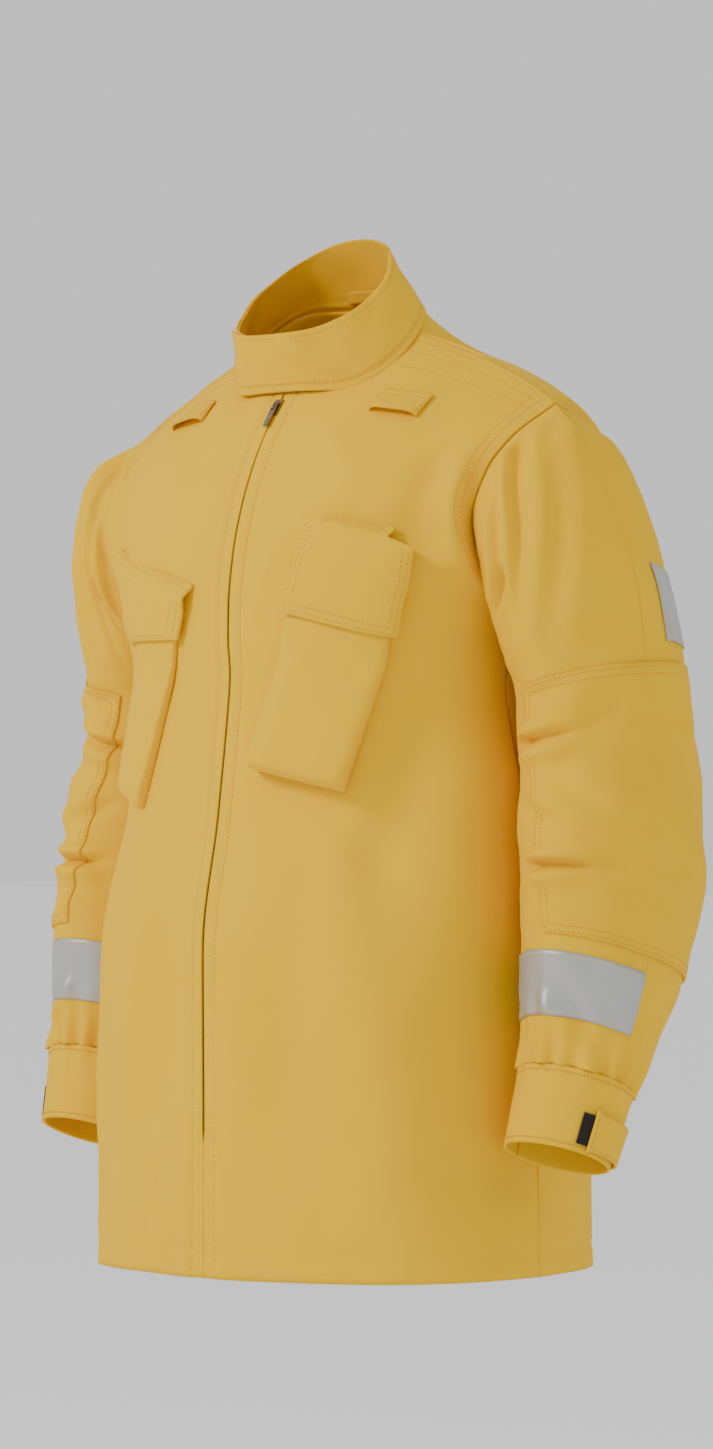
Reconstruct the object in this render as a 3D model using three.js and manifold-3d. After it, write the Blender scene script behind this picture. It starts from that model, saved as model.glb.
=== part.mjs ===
// A firefighter's turnout coat of the light, single-layer kind, hanging as it is worn and zipped shut.
// Millimetres. +Z is up, the front faces -Y and the wearer's left is +X.
// Every cloth piece is a thin slab laid on one of three surfaces: the front, the back and the sleeve.
// The surfaces are worked out above the front hem, and the finished coat is moved so that its origin
// is at the hanger loop, in the middle of the back neck seam.
import * as THREE from 'three';
import { mergeVertices } from 'three/addons/utils/BufferGeometryUtils.js';
import Module from 'manifold-3d';

const wasm = await Module();
wasm.setup();

// ---------------------------------------------------------------- driving dimensions
const CLOTH = 1.6;              // shell cloth with its seam turnings
const SEAM_GAP = 0.4;           // half of the gap left where two panels meet
const ARMHOLE_GAP = 0.9;        // gap between the body panels and the sleeve
const LAY_GAP = 0.8;            // gap under a piece that lies on another

const BODY_LENGTH = 741;        // front hem to front neck seam
const UNDERARM = 558;           // hem to underarm
const HEM_HALF_WIDTH = 208;
const HEM_DEPTH = 186;          // centre plane to the hem, front and back
const CHEST_HALF_WIDTH = 184;   // at the underarm
const WAIST_HALF_WIDTH = 173;
const SHOULDER_HALF_WIDTH = 223;
const SHOULDER_HEIGHT = 727;    // hem to shoulder tip

const NECK_HALF_WIDTH = 86;
const NECK_HALF_DEPTH = 62;
const NECK_CENTRE_Y = -21;
const NECK_RISE = 79;           // from the front neck seam to the back one
const SHOULDER_ANGLE = 100;     // where the shoulder seam meets the neck seam, degrees from the front

const COLLAR_CLOTH = 1.4;
const COLLAR_GAP = 1;           // gap between its shell and its lining
const COLLAR_SEAM_GAP = 2.4;    // the collar stands this far above the neck seam line
const COLLAR_HEIGHT_FRONT = 47;
const COLLAR_HEIGHT_BACK = 59;
const COLLAR_TOP_HALF_WIDTH = 68;
const COLLAR_TOP_HALF_DEPTH = 60;
const COLLAR_TOP_CENTRE_Y = -45;
const COLLAR_LAP_ANGLE = 46;    // how far the left end laps past the centre front
const COLLAR_LAP_LIFT = 5;      // how far the lap stands off the right end

const FRONT_ARC_RADIUS = 310;   // the zip's curve over the chest
const FRONT_ARC_Y = 154;
const FRONT_ARC_Z = 540;
const FRONT_EDGE = 2.2;         // centre plane to each front edge

const ZIP_FIRST_STEP = 2;       // the zip starts at this step of the front panel, counted from the hem
const ZIP_TOP_STOP = 0.15;      // and stops this share of a step below the neck seam
const ZIP_TAPE_WIDTH = 13;
const ZIP_TAPE_CLOTH = 0.8;
const TOOTH_WIDTH = 2.4;
const TOOTH_DEPTH = 2;
const TOOTH_SLOT = 0.8;         // centre plane to each row of teeth
const SLIDER_LENGTH = 13;
const SLIDER_WIDTH = 8.4;
const SLIDER_PLATE = 1.2;
const SLIDER_BACK_GAP = 1.4;    // the teeth stray this much from the slider's arc
const SLIDER_TRAVEL_TOP = 727;
const PULL_LENGTH = 21;
const PULL_WIDTH = 5;
const FACING_WIDTH = 34;

const SLEEVE_SEAM_ANGLE = 352;  // the rear sleeve seam, degrees from straight out, through the front
const CUFF_LENGTH = 62;
const BAND_WIDTH = 50.8;        // two-inch reflective tape
const BAND_CLOTH = 0.8;
const BACK_BAND_GAP = 2.0;      // gap under the band that crosses the back
const BACK_BAND_SHARE = 0.68;   // how far it goes from the centre back to the armhole
const LOWER_BAND_HEIGHT = 226;  // middle of the tape above the elbow-to-cuff stretch
const BACK_BAND_HEIGHT = 560;   // middle of the tape across the back
const UPPER_BAND_HEIGHT = 528;  // middle of the tape round the rear of each upper sleeve, along its middle line
const PATCH_CLOTH = 1.4;
const PATCH_GAP = 1.6;          // gap under the elbow patch, which bridges the sleeve's bends

const RADIO = {
  around: 102, z: 512, turn: -13, halfWidth: 42,
  halfLength: 104, depthTop: 14, depthBottom: 27,
};
const RADIO_FLAP = { neckHalfWidth: 25, halfWidth: 46, above: 13, below: 74 };
const BELLOWS = {
  around: -148, z: 495, turn: -15, halfWidth: 72,
  halfLength: 90, depthTop: 6, depthBottom: 13,
};
const BELLOWS_FLAP = { halfWidth: 78, above: 16, below: 32, point: 20 };
const POCKET_WALL = 1.6;
const POCKET_GAP = 1.6;         // gap under a pocket, which bridges the facets of the panel
const FLAP_CLOTH = 2;
const MIC_TAB = { around: 118, z: 727, turn: -8, halfWidth: 20, halfHeight: 10, depth: 7, wall: 1.2 };
const TAB_GAP = 0.5;            // gap under a microphone tab
const CUFF_TAB = { start: 338, end: 416, height: 34, cloth: 2, lift: 3.2 };
const HANGER_LOOP = { halfAngle: 18, share: 0.14, cloth: 1.6, stand: 10 };

// ---------------------------------------------------------------- small helpers
const point = (x, y, z) => new THREE.Vector3(x, y, z);
const radians = THREE.MathUtils.degToRad;
const lerp = THREE.MathUtils.lerp;
const smoothstep = (x, low, high) => THREE.MathUtils.smoothstep(x, low, high);

// The slope at a row from the slopes on each side of it, without overshoot.
function easedSlope(before, after) {
  return before * after <= 0 ? 0 : (2 * before * after) / (before + after);
}

function easedValue(p0, p1, p2, p3, t) {
  const middle = p2 - p1;
  const m1 = p0 === null ? middle : easedSlope(p1 - p0, middle);
  const m2 = p3 === null ? middle : easedSlope(middle, p3 - p2);
  const t2 = t * t;
  const t3 = t2 * t;
  return (2 * t3 - 3 * t2 + 1) * p1 + (t3 - 2 * t2 + t) * m1 + (3 * t2 - 2 * t3) * p2 + (t3 - t2) * m2;
}

// A surface through a stack of rows: u runs along a row, v counts the rows.
function acrossRows(rows, u, v) {
  const k = Math.min(Math.max(Math.floor(v), 0), rows.length - 2);
  const before = k > 0 ? rows[k - 1](u) : null;
  const low = rows[k](u);
  const high = rows[k + 1](u);
  const after = k + 2 < rows.length ? rows[k + 2](u) : null;
  const share = v - k;
  const along = (axis) => easedValue(
    before && before[axis],
    low[axis],
    high[axis],
    after && after[axis],
    share,
  );
  return point(along('x'), along('y'), along('z'));
}

const bezierRow = (a, b, c, d) => {
  const curve = new THREE.CubicBezierCurve3(a, b, c, d);
  return (u) => curve.getPoint(u);
};

// A surface point moved along the outward normal.
function offset(surface, u, v, depth, limits, sign) {
  const step = 0.01;
  const here = surface(u, v);
  const uLow = Math.max(u - step, limits.uLow);
  const uHigh = Math.min(u + step, limits.uHigh);
  const vLow = Math.max(v - step, limits.vLow);
  const vHigh = Math.min(v + step, limits.vHigh);
  const alongU = surface(uHigh, v).sub(surface(uLow, v));
  const alongV = surface(u, vHigh).sub(surface(u, vLow));
  const normal = alongU.cross(alongV).normalize();
  return here.addScaledVector(normal, depth * sign);
}

function signedVolume(geometry) {
  const position = geometry.attributes.position;
  const index = geometry.index;
  const corner = [point(), point(), point()];
  let volume = 0;
  for (let i = 0; i < index.count; i += 3) {
    corner.forEach((c, n) => c.fromBufferAttribute(position, index.getX(i + n)));
    volume += corner[0].dot(corner[1].cross(corner[2])) / 6;
  }
  return volume;
}

function faceOut(geometry) {
  if (signedVolume(geometry) > 0) return geometry;
  const index = geometry.index;
  for (let i = 0; i < index.count; i += 3) {
    const second = index.getX(i + 1);
    index.setX(i + 1, index.getX(i + 2));
    index.setX(i + 2, second);
  }
  return geometry;
}

// A box whose every vertex is placed by a function of its three shares, each from 0 to 1.
function mappedBox(across, along, through, place) {
  const geometry = new THREE.BoxGeometry(1, 1, 1, across, along, through);
  const position = geometry.attributes.position;
  for (let i = 0; i < position.count; i += 1) {
    const p = place(position.getX(i) + 0.5, position.getY(i) + 0.5, position.getZ(i) + 0.5);
    position.setXYZ(i, p.x, p.y, p.z);
  }
  geometry.deleteAttribute('normal');
  geometry.deleteAttribute('uv');
  return faceOut(mergeVertices(geometry, 1e-3));
}

function toSolid(geometry) {
  return new wasm.Manifold(new wasm.Mesh({
    numProp: 3,
    vertProperties: new Float32Array(geometry.attributes.position.array),
    triVerts: new Uint32Array(geometry.index.array),
  }));
}

function toGeometry(solid) {
  const mesh = solid.getMesh();
  const geometry = new THREE.BufferGeometry();
  geometry.setAttribute('position', new THREE.BufferAttribute(new Float32Array(mesh.vertProperties), 3));
  geometry.setIndex(new THREE.BufferAttribute(new Uint32Array(mesh.triVerts), 1));
  return geometry;
}

const cut = (body, tool) => toGeometry(toSolid(body).subtract(toSolid(tool)));
const join = (body, other) => toGeometry(toSolid(body).add(toSolid(other)));

// ---------------------------------------------------------------- the neck seam
// angle: degrees round the neck from the centre front towards the wearer's left
function neckPoint(angle) {
  const turn = radians(angle);
  const fold = Math.abs(((angle + 180) % 360 + 360) % 360 - 180);
  return point(
    NECK_HALF_WIDTH * Math.sin(turn),
    NECK_CENTRE_Y - NECK_HALF_DEPTH * Math.cos(turn),
    BODY_LENGTH + NECK_RISE * smoothstep(fold, 30, 145),
  );
}

const shoulderTip = point(SHOULDER_HALF_WIDTH, 3, SHOULDER_HEIGHT);

// The top row of a body panel: along the neck seam, then out along the shoulder seam.
const NECK_SHARE = 0.42;
function topRow(startAngle) {
  const neckEnd = neckPoint(SHOULDER_ANGLE);
  const drop = neckEnd.z - SHOULDER_HEIGHT;
  const run = SHOULDER_HALF_WIDTH - neckEnd.x;
  const seam = new THREE.CubicBezierCurve3(
    neckEnd,
    point(neckEnd.x + run * 0.2, 6, neckEnd.z - drop * 0.12),
    point(neckEnd.x + run * 0.7, 8, SHOULDER_HEIGHT + drop * 0.45),
    shoulderTip,
  );
  return (u) => (u < NECK_SHARE
    ? neckPoint(lerp(startAngle, SHOULDER_ANGLE, u / NECK_SHARE))
    : seam.getPoint((u - NECK_SHARE) / (1 - NECK_SHARE)));
}

// ---------------------------------------------------------------- the body surfaces
// The centre front follows one arc over the chest, which the zip slider runs along.
const arcY = (z) => FRONT_ARC_Y - Math.sqrt(FRONT_ARC_RADIUS ** 2 - (z - FRONT_ARC_Z) ** 2);

// Heights below the underarm keep their share of the underarm height.
const below = (share) => UNDERARM * share;
// Heights above it keep their share of the armhole.
const above = (share) => lerp(UNDERARM, SHOULDER_HEIGHT, share);
const BOXY = 0.68;

function lowRow(z, centreY, side, facing) {
  return bezierRow(
    point(0, centreY, z),
    point(side * BOXY, centreY, z),
    point(side, centreY * BOXY, z),
    point(side, facing * SEAM_GAP, z),
  );
}

const lowSections = [
  { share: 0, half: HEM_HALF_WIDTH, front: -HEM_DEPTH, back: HEM_DEPTH },
  { share: 0.215, half: HEM_HALF_WIDTH - 2, front: -HEM_DEPTH, back: HEM_DEPTH - 2 },
  { share: 0.48, half: HEM_HALF_WIDTH - 10, front: -HEM_DEPTH - 1, back: HEM_DEPTH - 10 },
  { share: 0.69, half: (WAIST_HALF_WIDTH + HEM_HALF_WIDTH) / 2 - 6, front: -168, back: 163 },
  { share: 0.895, half: WAIST_HALF_WIDTH, front: arcY(500), back: 150 },
  { share: 0.95, half: WAIST_HALF_WIDTH + 3, front: arcY(530), back: 148 },
  { share: 1, half: CHEST_HALF_WIDTH, front: arcY(558), back: 146 },
];

const armholeFront = [
  { x: CHEST_HALF_WIDTH + 10, y: -62, z: above(0.23) },
  { x: CHEST_HALF_WIDTH + 15, y: -78, z: above(0.44) },
  { x: SHOULDER_HALF_WIDTH - 20, y: -66, z: above(0.645) },
  { x: SHOULDER_HALF_WIDTH - 12, y: -42, z: above(0.82) },
];

const frontRows = [
  ...lowSections.map((s) => lowRow(below(s.share), s.front, s.half, -1)),
  ...[
    { z: 600, reach: 110, from: [-24, -56, 2] },
    { z: 640, reach: 105, from: [-52, -44, 6] },
    { z: 680, reach: 90, from: [-54, -38, 10] },
    { z: 712, reach: 75, from: [-66, -38, 15] },
  ].map((row, i) => {
    const edge = armholeFront[i];
    const centre = arcY(row.z);
    return bezierRow(
      point(0, centre, row.z),
      point(row.reach, centre, row.z),
      point(edge.x + row.from[0], edge.y + row.from[1], edge.z + row.from[2]),
      point(edge.x, edge.y, edge.z),
    );
  }),
  topRow(0),
];

const armholeBack = [
  { x: CHEST_HALF_WIDTH + 16, y: 64, z: above(0.2) },
  { x: CHEST_HALF_WIDTH + 26, y: 88, z: above(0.4) },
  { x: SHOULDER_HALF_WIDTH - 7, y: 92, z: above(0.605) },
  { x: SHOULDER_HALF_WIDTH - 2, y: 74, z: above(0.795) },
  { x: SHOULDER_HALF_WIDTH, y: 40, z: above(0.925) },
];

const backRows = [
  ...lowSections.map((s) => lowRow(below(s.share), s.back, s.half, 1)),
  ...[
    { y: 145, z: 600, reach: 120, from: [-10, 58, 5] },
    { y: 144, z: 645, reach: 125, from: [-18, 40, 7] },
    { y: 138, z: 690, reach: 120, from: [-24, 34, 12] },
    { y: 120, z: 740, reach: 105, from: [-36, 36, 20] },
    { y: 88, z: 785, reach: 90, from: [-45, 24, 34] },
  ].map((row, i) => {
    const edge = armholeBack[i];
    return bezierRow(
      point(0, row.y, row.z),
      point(row.reach, row.y, row.z),
      point(edge.x + row.from[0], edge.y + row.from[1], edge.z + row.from[2]),
      point(edge.x, edge.y, edge.z),
    );
  }),
  topRow(180),
];

const UNDERARM_ROW = lowSections.length - 1;
const FRONT_TOP_ROW = frontRows.length - 1;
const BACK_TOP_ROW = backRows.length - 1;

const frontSurface = (u, v) => acrossRows(frontRows, u, v);
const backSurface = (u, v) => acrossRows(backRows, u, v);
const frontLimits = { uLow: 0, uHigh: 1, vLow: 0, vHigh: FRONT_TOP_ROW };
const backLimits = { uLow: 0, uHigh: 1, vLow: 0, vHigh: BACK_TOP_ROW };
const frontAt = (u, v, depth) => offset(frontSurface, u, v, depth, frontLimits, 1);
const backAt = (u, v, depth) => offset(backSurface, u, v, depth, backLimits, -1);
const mirrored = (p, side) => point(p.x * side, p.y, p.z);

// The row coordinate at which the front surface reaches a height.
function frontRowAt(u, z, guess) {
  const step = 0.004;
  let v = guess;
  for (let round = 0; round < 5; round += 1) {
    const here = frontSurface(u, v).z;
    const slope = (frontSurface(u, v + step).z - here) / step;
    v = THREE.MathUtils.clamp(v + (z - here) / slope, 0, FRONT_TOP_ROW - step);
  }
  return v;
}

// The front surface reached by the distance round it from the centre front, and by height.
const ARC_STEPS = 30;
function chest(around, z, depth) {
  const side = Math.sign(around) || 1;
  const target = Math.abs(around);
  let v = frontRowAt(0, z, z / 75);
  let here = frontSurface(0, v);
  let run = 0;
  for (let i = 1; ; i += 1) {
    const u = i / ARC_STEPS;
    const nextV = frontRowAt(u, z, v);
    const next = frontSurface(u, nextV);
    const length = Math.hypot(next.x - here.x, next.y - here.y);
    if (run + length >= target || i === ARC_STEPS) {
      const share = (target - run) / length;
      return mirrored(frontAt((i - 1 + share) / ARC_STEPS, lerp(v, nextV, share), depth), side);
    }
    run += length;
    v = nextV;
    here = next;
  }
}

// A piece laid on the chest: s runs across it and t up it, turned about its middle.
function onChest(piece, s, t, depth) {
  const turn = radians(piece.turn);
  const around = piece.around + s * Math.cos(turn) - t * Math.sin(turn);
  const z = piece.z + s * Math.sin(turn) + t * Math.cos(turn);
  return chest(around, z, depth);
}

// ---------------------------------------------------------------- the sleeve surface
// Oval rings down the arm: middle, tilt of the outward axis, half width out, half width back, forward lean.
const sleeveRings = [
  { x: 219, y: 10, z: 622, tilt: 66, out: 85, back: 90, lean: 0 },
  { x: 231.5, y: 18, z: 585, tilt: 51, out: 77, back: 92, lean: 0 },
  { x: 238, y: 30, z: 540, tilt: 35, out: 68, back: 93, lean: 0 },
  { x: 242, y: 42, z: 495, tilt: 14, out: 59, back: 92, lean: 0 },
  { x: 244, y: 46, z: 440, tilt: 2, out: 59, back: 93, lean: 0 },
  { x: 252, y: 40, z: 385, tilt: 0, out: 61, back: 97, lean: 4 },
  { x: 258, y: 30, z: 325, tilt: 0, out: 60, back: 93, lean: 10 },
  { x: 263, y: 12, z: 257, tilt: 0, out: 57, back: 82, lean: 17 },
  { x: 265, y: -6, z: 207, tilt: 0, out: 52, back: 64, lean: 20 },
  { x: 264, y: -22, z: 165, tilt: 0, out: 47, back: 50, lean: 20 },
];
const CUFF_SEAM_ROW = sleeveRings.length;
const cuffEnd = { x: 259, y: -43, z: 165 - CUFF_LENGTH, tilt: 0, out: 43, back: 46, lean: 20 };

function ringPoint(ring, angle) {
  const turn = radians(angle);
  const tilt = radians(ring.tilt);
  const lean = radians(ring.lean);
  const out = ring.out * Math.cos(turn);
  const back = ring.back * Math.sin(turn);
  return point(
    ring.x + out * Math.cos(tilt),
    ring.y + back * Math.cos(lean),
    ring.z + out * Math.sin(tilt) - back * Math.sin(lean),
  );
}

// Where the sleeve starts: just past the armhole edge of the body panels.
function armholePoint(surface, v) {
  const edge = surface(1, v);
  const inside = surface(0.97, v);
  return edge.clone().addScaledVector(edge.clone().sub(inside).normalize(), ARMHOLE_GAP);
}

// angle runs from 180 (under the arm) through the front at 270 to the rear seam, round the back to 540
function armholeRow(angle) {
  if (angle <= SLEEVE_SEAM_ANGLE) {
    const share = (angle - 180) / (SLEEVE_SEAM_ANGLE - 180);
    return armholePoint(frontSurface, lerp(UNDERARM_ROW, FRONT_TOP_ROW, share));
  }
  const share = (angle - SLEEVE_SEAM_ANGLE) / (540 - SLEEVE_SEAM_ANGLE);
  return armholePoint(backSurface, lerp(BACK_TOP_ROW, UNDERARM_ROW, share));
}

const sleeveRows = [armholeRow, ...sleeveRings.map((ring) => (angle) => ringPoint(ring, angle))];
const cuffRows = [sleeveRows[CUFF_SEAM_ROW], (angle) => ringPoint(cuffEnd, angle)];

function roundSurface(rows, angle, w, depth) {
  const surface = (a, b) => acrossRows(rows, a * 100, b);
  const limits = { uLow: 1.8, uHigh: 5.4, vLow: 0, vHigh: rows.length - 1 };
  return offset(surface, angle / 100, w, depth, limits, -1);
}
const sleeveAt = (angle, w, depth) => roundSurface(sleeveRows, angle, w, depth);
const cuffAt = (angle, w, depth) => roundSurface(cuffRows, angle, w, depth);

// The sleeve row at a height, by the middles of the rings.
function sleeveRowAt(z) {
  for (let i = 0; i < sleeveRings.length - 1; i += 1) {
    const high = sleeveRings[i].z;
    const low = sleeveRings[i + 1].z;
    if (z <= high && z >= low) return 1 + i + (high - z) / (high - low);
  }
  return z > sleeveRings[0].z ? 1 : CUFF_SEAM_ROW;
}

// ---------------------------------------------------------------- the pieces
const coat = new THREE.Group();

const YELLOW = 0xf5c93e;
const YELLOW_DEEP = 0xeeb52c;
const SILVER = 0xb4b6b6;
const BLACK = 0x16130f;
const BRASS = 0x6b5a3c;

function addPiece(name, geometry, color, roughness = 0.9, metalness = 0) {
  const mesh = new THREE.Mesh(geometry, new THREE.MeshStandardMaterial({ color, roughness, metalness }));
  mesh.name = name;
  coat.add(mesh);
}

// A slab between two depths of a surface.
const slab = (across, along, low, high, place) => mappedBox(
  across,
  along,
  1,
  (a, b, c) => place(a, b, lerp(low, high, c)),
);

// How far short of the shoulder seam a body panel stops, in rows.
const SEAM_SHARE = 0.02;

// The body panels and what lies inside them share one set of row steps.
const PANEL_COLUMNS = 10;
const FRONT_STEPS = 22;
const BACK_STEPS = 24;
const frontStep = (k) => (k / FRONT_STEPS) * (FRONT_TOP_ROW - SEAM_SHARE);
const backStep = (k) => (k / BACK_STEPS) * (BACK_TOP_ROW - SEAM_SHARE);
const EDGE_SHARE = 0.0135;

function bodyPanels() {
  for (const side of [1, -1]) {
    const name = side > 0 ? 'left_front' : 'right_front';
    addPiece(name, slab(PANEL_COLUMNS, FRONT_STEPS, -CLOTH, 0, (a, b, depth) => {
      const p = frontAt(lerp(EDGE_SHARE, 1, a), frontStep(b * FRONT_STEPS), depth);
      if (a === 0) p.x = FRONT_EDGE;
      return mirrored(p, side);
    }), YELLOW);
  }
  addPiece('back_panel', slab(20, BACK_STEPS, -CLOTH, 0, (a, b, depth) => {
    const u = Math.abs(2 * a - 1);
    const p = backAt(u, backStep(b * BACK_STEPS), depth);
    if (u === 0) p.x = 0;
    return mirrored(p, a < 0.5 ? -1 : 1);
  }), YELLOW);
  addPiece('yoke_lining', slab(18, 5, -CLOTH - LAY_GAP - 1.4, -CLOTH - LAY_GAP - 0.4, (a, b, depth) => {
    const u = Math.abs(2 * a - 1) * 0.9;
    const first = BACK_STEPS - 7;
    const p = backAt(u, backStep(first + b * 5), depth);
    if (u === 0) p.x = 0;
    return mirrored(p, a < 0.5 ? -1 : 1);
  }), YELLOW_DEEP);
}

function sleeves() {
  const edge = (b) => lerp(3.5, 0.6, Math.min(b * 5, 1));
  const cuffRow = CUFF_SEAM_ROW - 0.012;
  for (const side of [1, -1]) {
    const hand = side > 0 ? 'left' : 'right';
    addPiece(`${hand}_sleeve_front`, slab(10, 16, -CLOTH, 0, (a, b, depth) => {
      const angle = lerp(180 + edge(b), SLEEVE_SEAM_ANGLE - 0.6, a);
      return mirrored(sleeveAt(angle, b * cuffRow, depth), side);
    }), YELLOW);
    addPiece(`${hand}_sleeve_rear`, slab(10, 16, -CLOTH, 0, (a, b, depth) => {
      const angle = lerp(SLEEVE_SEAM_ANGLE + 0.6, 540 - edge(b), a);
      return mirrored(sleeveAt(angle, b * cuffRow, depth), side);
    }), YELLOW);
    addPiece(`${hand}_elbow_patch`, slab(14, 8, PATCH_GAP, PATCH_GAP + PATCH_CLOTH, (a, b, depth) => {
      const angle = lerp(lerp(272, 252, b), 470, a);
      const rise = 4 * Math.sin(Math.PI * a);
      const z = lerp(264, 490 + rise, b);
      return mirrored(sleeveAt(angle, sleeveRowAt(z), depth), side);
    }), YELLOW);
    addPiece(`${hand}_lower_sleeve_band`, slab(16, 3, LAY_GAP, LAY_GAP + BAND_CLOTH, (a, b, depth) => {
      const angle = lerp(182, SLEEVE_SEAM_ANGLE - 1, a);
      const z = LOWER_BAND_HEIGHT + (b - 0.5) * BAND_WIDTH;
      return mirrored(sleeveAt(angle, sleeveRowAt(z), depth), side);
    }), SILVER, 0.35, 0.5);
    addPiece(`${hand}_upper_sleeve_band`, slab(14, 3, LAY_GAP, LAY_GAP + BAND_CLOTH, (a, b, depth) => {
      const angle = lerp(SLEEVE_SEAM_ANGLE + 14, 486, a);
      const z = UPPER_BAND_HEIGHT + (b - 0.5) * BAND_WIDTH * 0.82;
      return mirrored(sleeveAt(angle, sleeveRowAt(z), depth), side);
    }), SILVER, 0.35, 0.5);
    addPiece(`${hand}_cuff`, slab(24, 3, -CLOTH, 0.4, (a, b, depth) => {
      const angle = lerp(181, 539, a);
      return mirrored(cuffAt(angle, lerp(0.006, 1, b), depth), side);
    }), YELLOW);
    addPiece(`${hand}_cuff_hook_pad`, slab(8, 2, LAY_GAP + 0.4, LAY_GAP + 1.4, (a, b, depth) => {
      const angle = lerp(CUFF_TAB.start - 12, CUFF_TAB.start + 44, a);
      return mirrored(cuffAt(angle, lerp(0.5, 0.9, b), depth), side);
    }), BLACK);
    addPiece(`${hand}_cuff_tab`, slab(12, 2, 0, CUFF_TAB.cloth, (a, b, depth) => {
      const angle = lerp(CUFF_TAB.start, CUFF_TAB.end, a);
      const share = CUFF_TAB.height / CUFF_LENGTH / 2;
      const lift = lerp(CUFF_TAB.lift, LAY_GAP + 0.6, smoothstep(a, 0.7, 1));
      return mirrored(cuffAt(angle, lerp(0.7 - share, 0.7 + share, b), depth + lift), side);
    }), YELLOW);
  }
}

// The band across the back, level from armhole to armhole.
function backBand() {
  const low = BACK_BAND_HEIGHT - BAND_WIDTH / 2;
  addPiece('back_band', slab(24, 3, BACK_BAND_GAP, BACK_BAND_GAP + BAND_CLOTH, (a, b, depth) => {
    const u = Math.abs(2 * a - 1) * BACK_BAND_SHARE;
    const target = low + b * BAND_WIDTH;
    let v = UNDERARM_ROW;
    for (let round = 0; round < 20; round += 1) {
      const here = backSurface(u, v).z;
      const next = backSurface(u, v + 0.01).z;
      v += (target - here) / ((next - here) / 0.01);
    }
    const p = backAt(u, v, depth);
    if (u === 0) p.x = 0;
    return mirrored(p, a < 0.5 ? -1 : 1);
  }), SILVER, 0.35, 0.5);
}

// The stand collar starts left of the front, goes round by the right and the back, and laps over its start.
function collarPoint(angle, share, depth) {
  const base = neckPoint(angle);
  base.z += COLLAR_SEAM_GAP;
  const turn = radians(angle);
  const top = point(
    COLLAR_TOP_HALF_WIDTH * Math.sin(turn),
    COLLAR_TOP_CENTRE_Y - COLLAR_TOP_HALF_DEPTH * Math.cos(turn),
    0,
  );
  const rear = ((1 - Math.cos(turn)) / 2) ** 1.25;
  top.z = BODY_LENGTH + COLLAR_HEIGHT_FRONT + (NECK_RISE - COLLAR_HEIGHT_FRONT + COLLAR_HEIGHT_BACK) * rear;
  const here = base.lerp(top, share);
  const out = point(Math.sin(turn) / COLLAR_TOP_HALF_WIDTH, -Math.cos(turn) / COLLAR_TOP_HALF_DEPTH, 0);
  const lift = COLLAR_LAP_LIFT * smoothstep(angle, 318, 350);
  return here.addScaledVector(out.normalize(), depth + lift);
}

function collar() {
  const layer = (name, low, high, color) => {
    addPiece(name, slab(32, 3, low, high, (a, b, depth) => {
      const angle = lerp(-5, 360 + COLLAR_LAP_ANGLE, a);
      return mirrored(collarPoint(angle, b, depth), -1);
    }), color);
  };
  layer('collar_shell', 0, COLLAR_CLOTH, YELLOW);
  layer('collar_lining', -COLLAR_CLOTH - COLLAR_GAP, -COLLAR_GAP, YELLOW_DEEP);
  const inside = -COLLAR_CLOTH - COLLAR_GAP - LAY_GAP;
  addPiece('hanger_loop', mappedBox(10, 1, 1, (a, b, c) => {
    const s = 2 * a - 1;
    const bow = HANGER_LOOP.stand * (1 - s ** 4);
    const angle = 180 + s * HANGER_LOOP.halfAngle;
    return collarPoint(angle, lerp(0.05, 0.05 + HANGER_LOOP.share, b), inside - bow - c * HANGER_LOOP.cloth);
  }), YELLOW_DEEP);
}

// ---------------------------------------------------------------- the zip
// A point on the slider's arc at the centre front: x across, z up, depth along the outward normal.
function onArc(x, z, depth) {
  const rise = z - FRONT_ARC_Z;
  const normalY = -Math.sqrt(FRONT_ARC_RADIUS ** 2 - rise ** 2) / FRONT_ARC_RADIUS;
  return point(x, arcY(z) + normalY * depth, z + (rise / FRONT_ARC_RADIUS) * depth);
}

// A point behind the front panel at a distance from the centre, on the panel's own flat facets.
function behindPanel(x, k, depth) {
  const column = (j) => {
    const p = frontAt(lerp(EDGE_SHARE, 1, j / PANEL_COLUMNS), frontStep(k), depth);
    if (j === 0) p.x = FRONT_EDGE;
    return p;
  };
  let j = 0;
  while (column(j + 1).x < Math.abs(x)) j += 1;
  const low = column(j);
  const high = column(j + 1);
  const p = low.clone().lerp(high, (Math.abs(x) - low.x) / (high.x - low.x));
  return mirrored(p, Math.sign(x) || 1);
}

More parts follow.
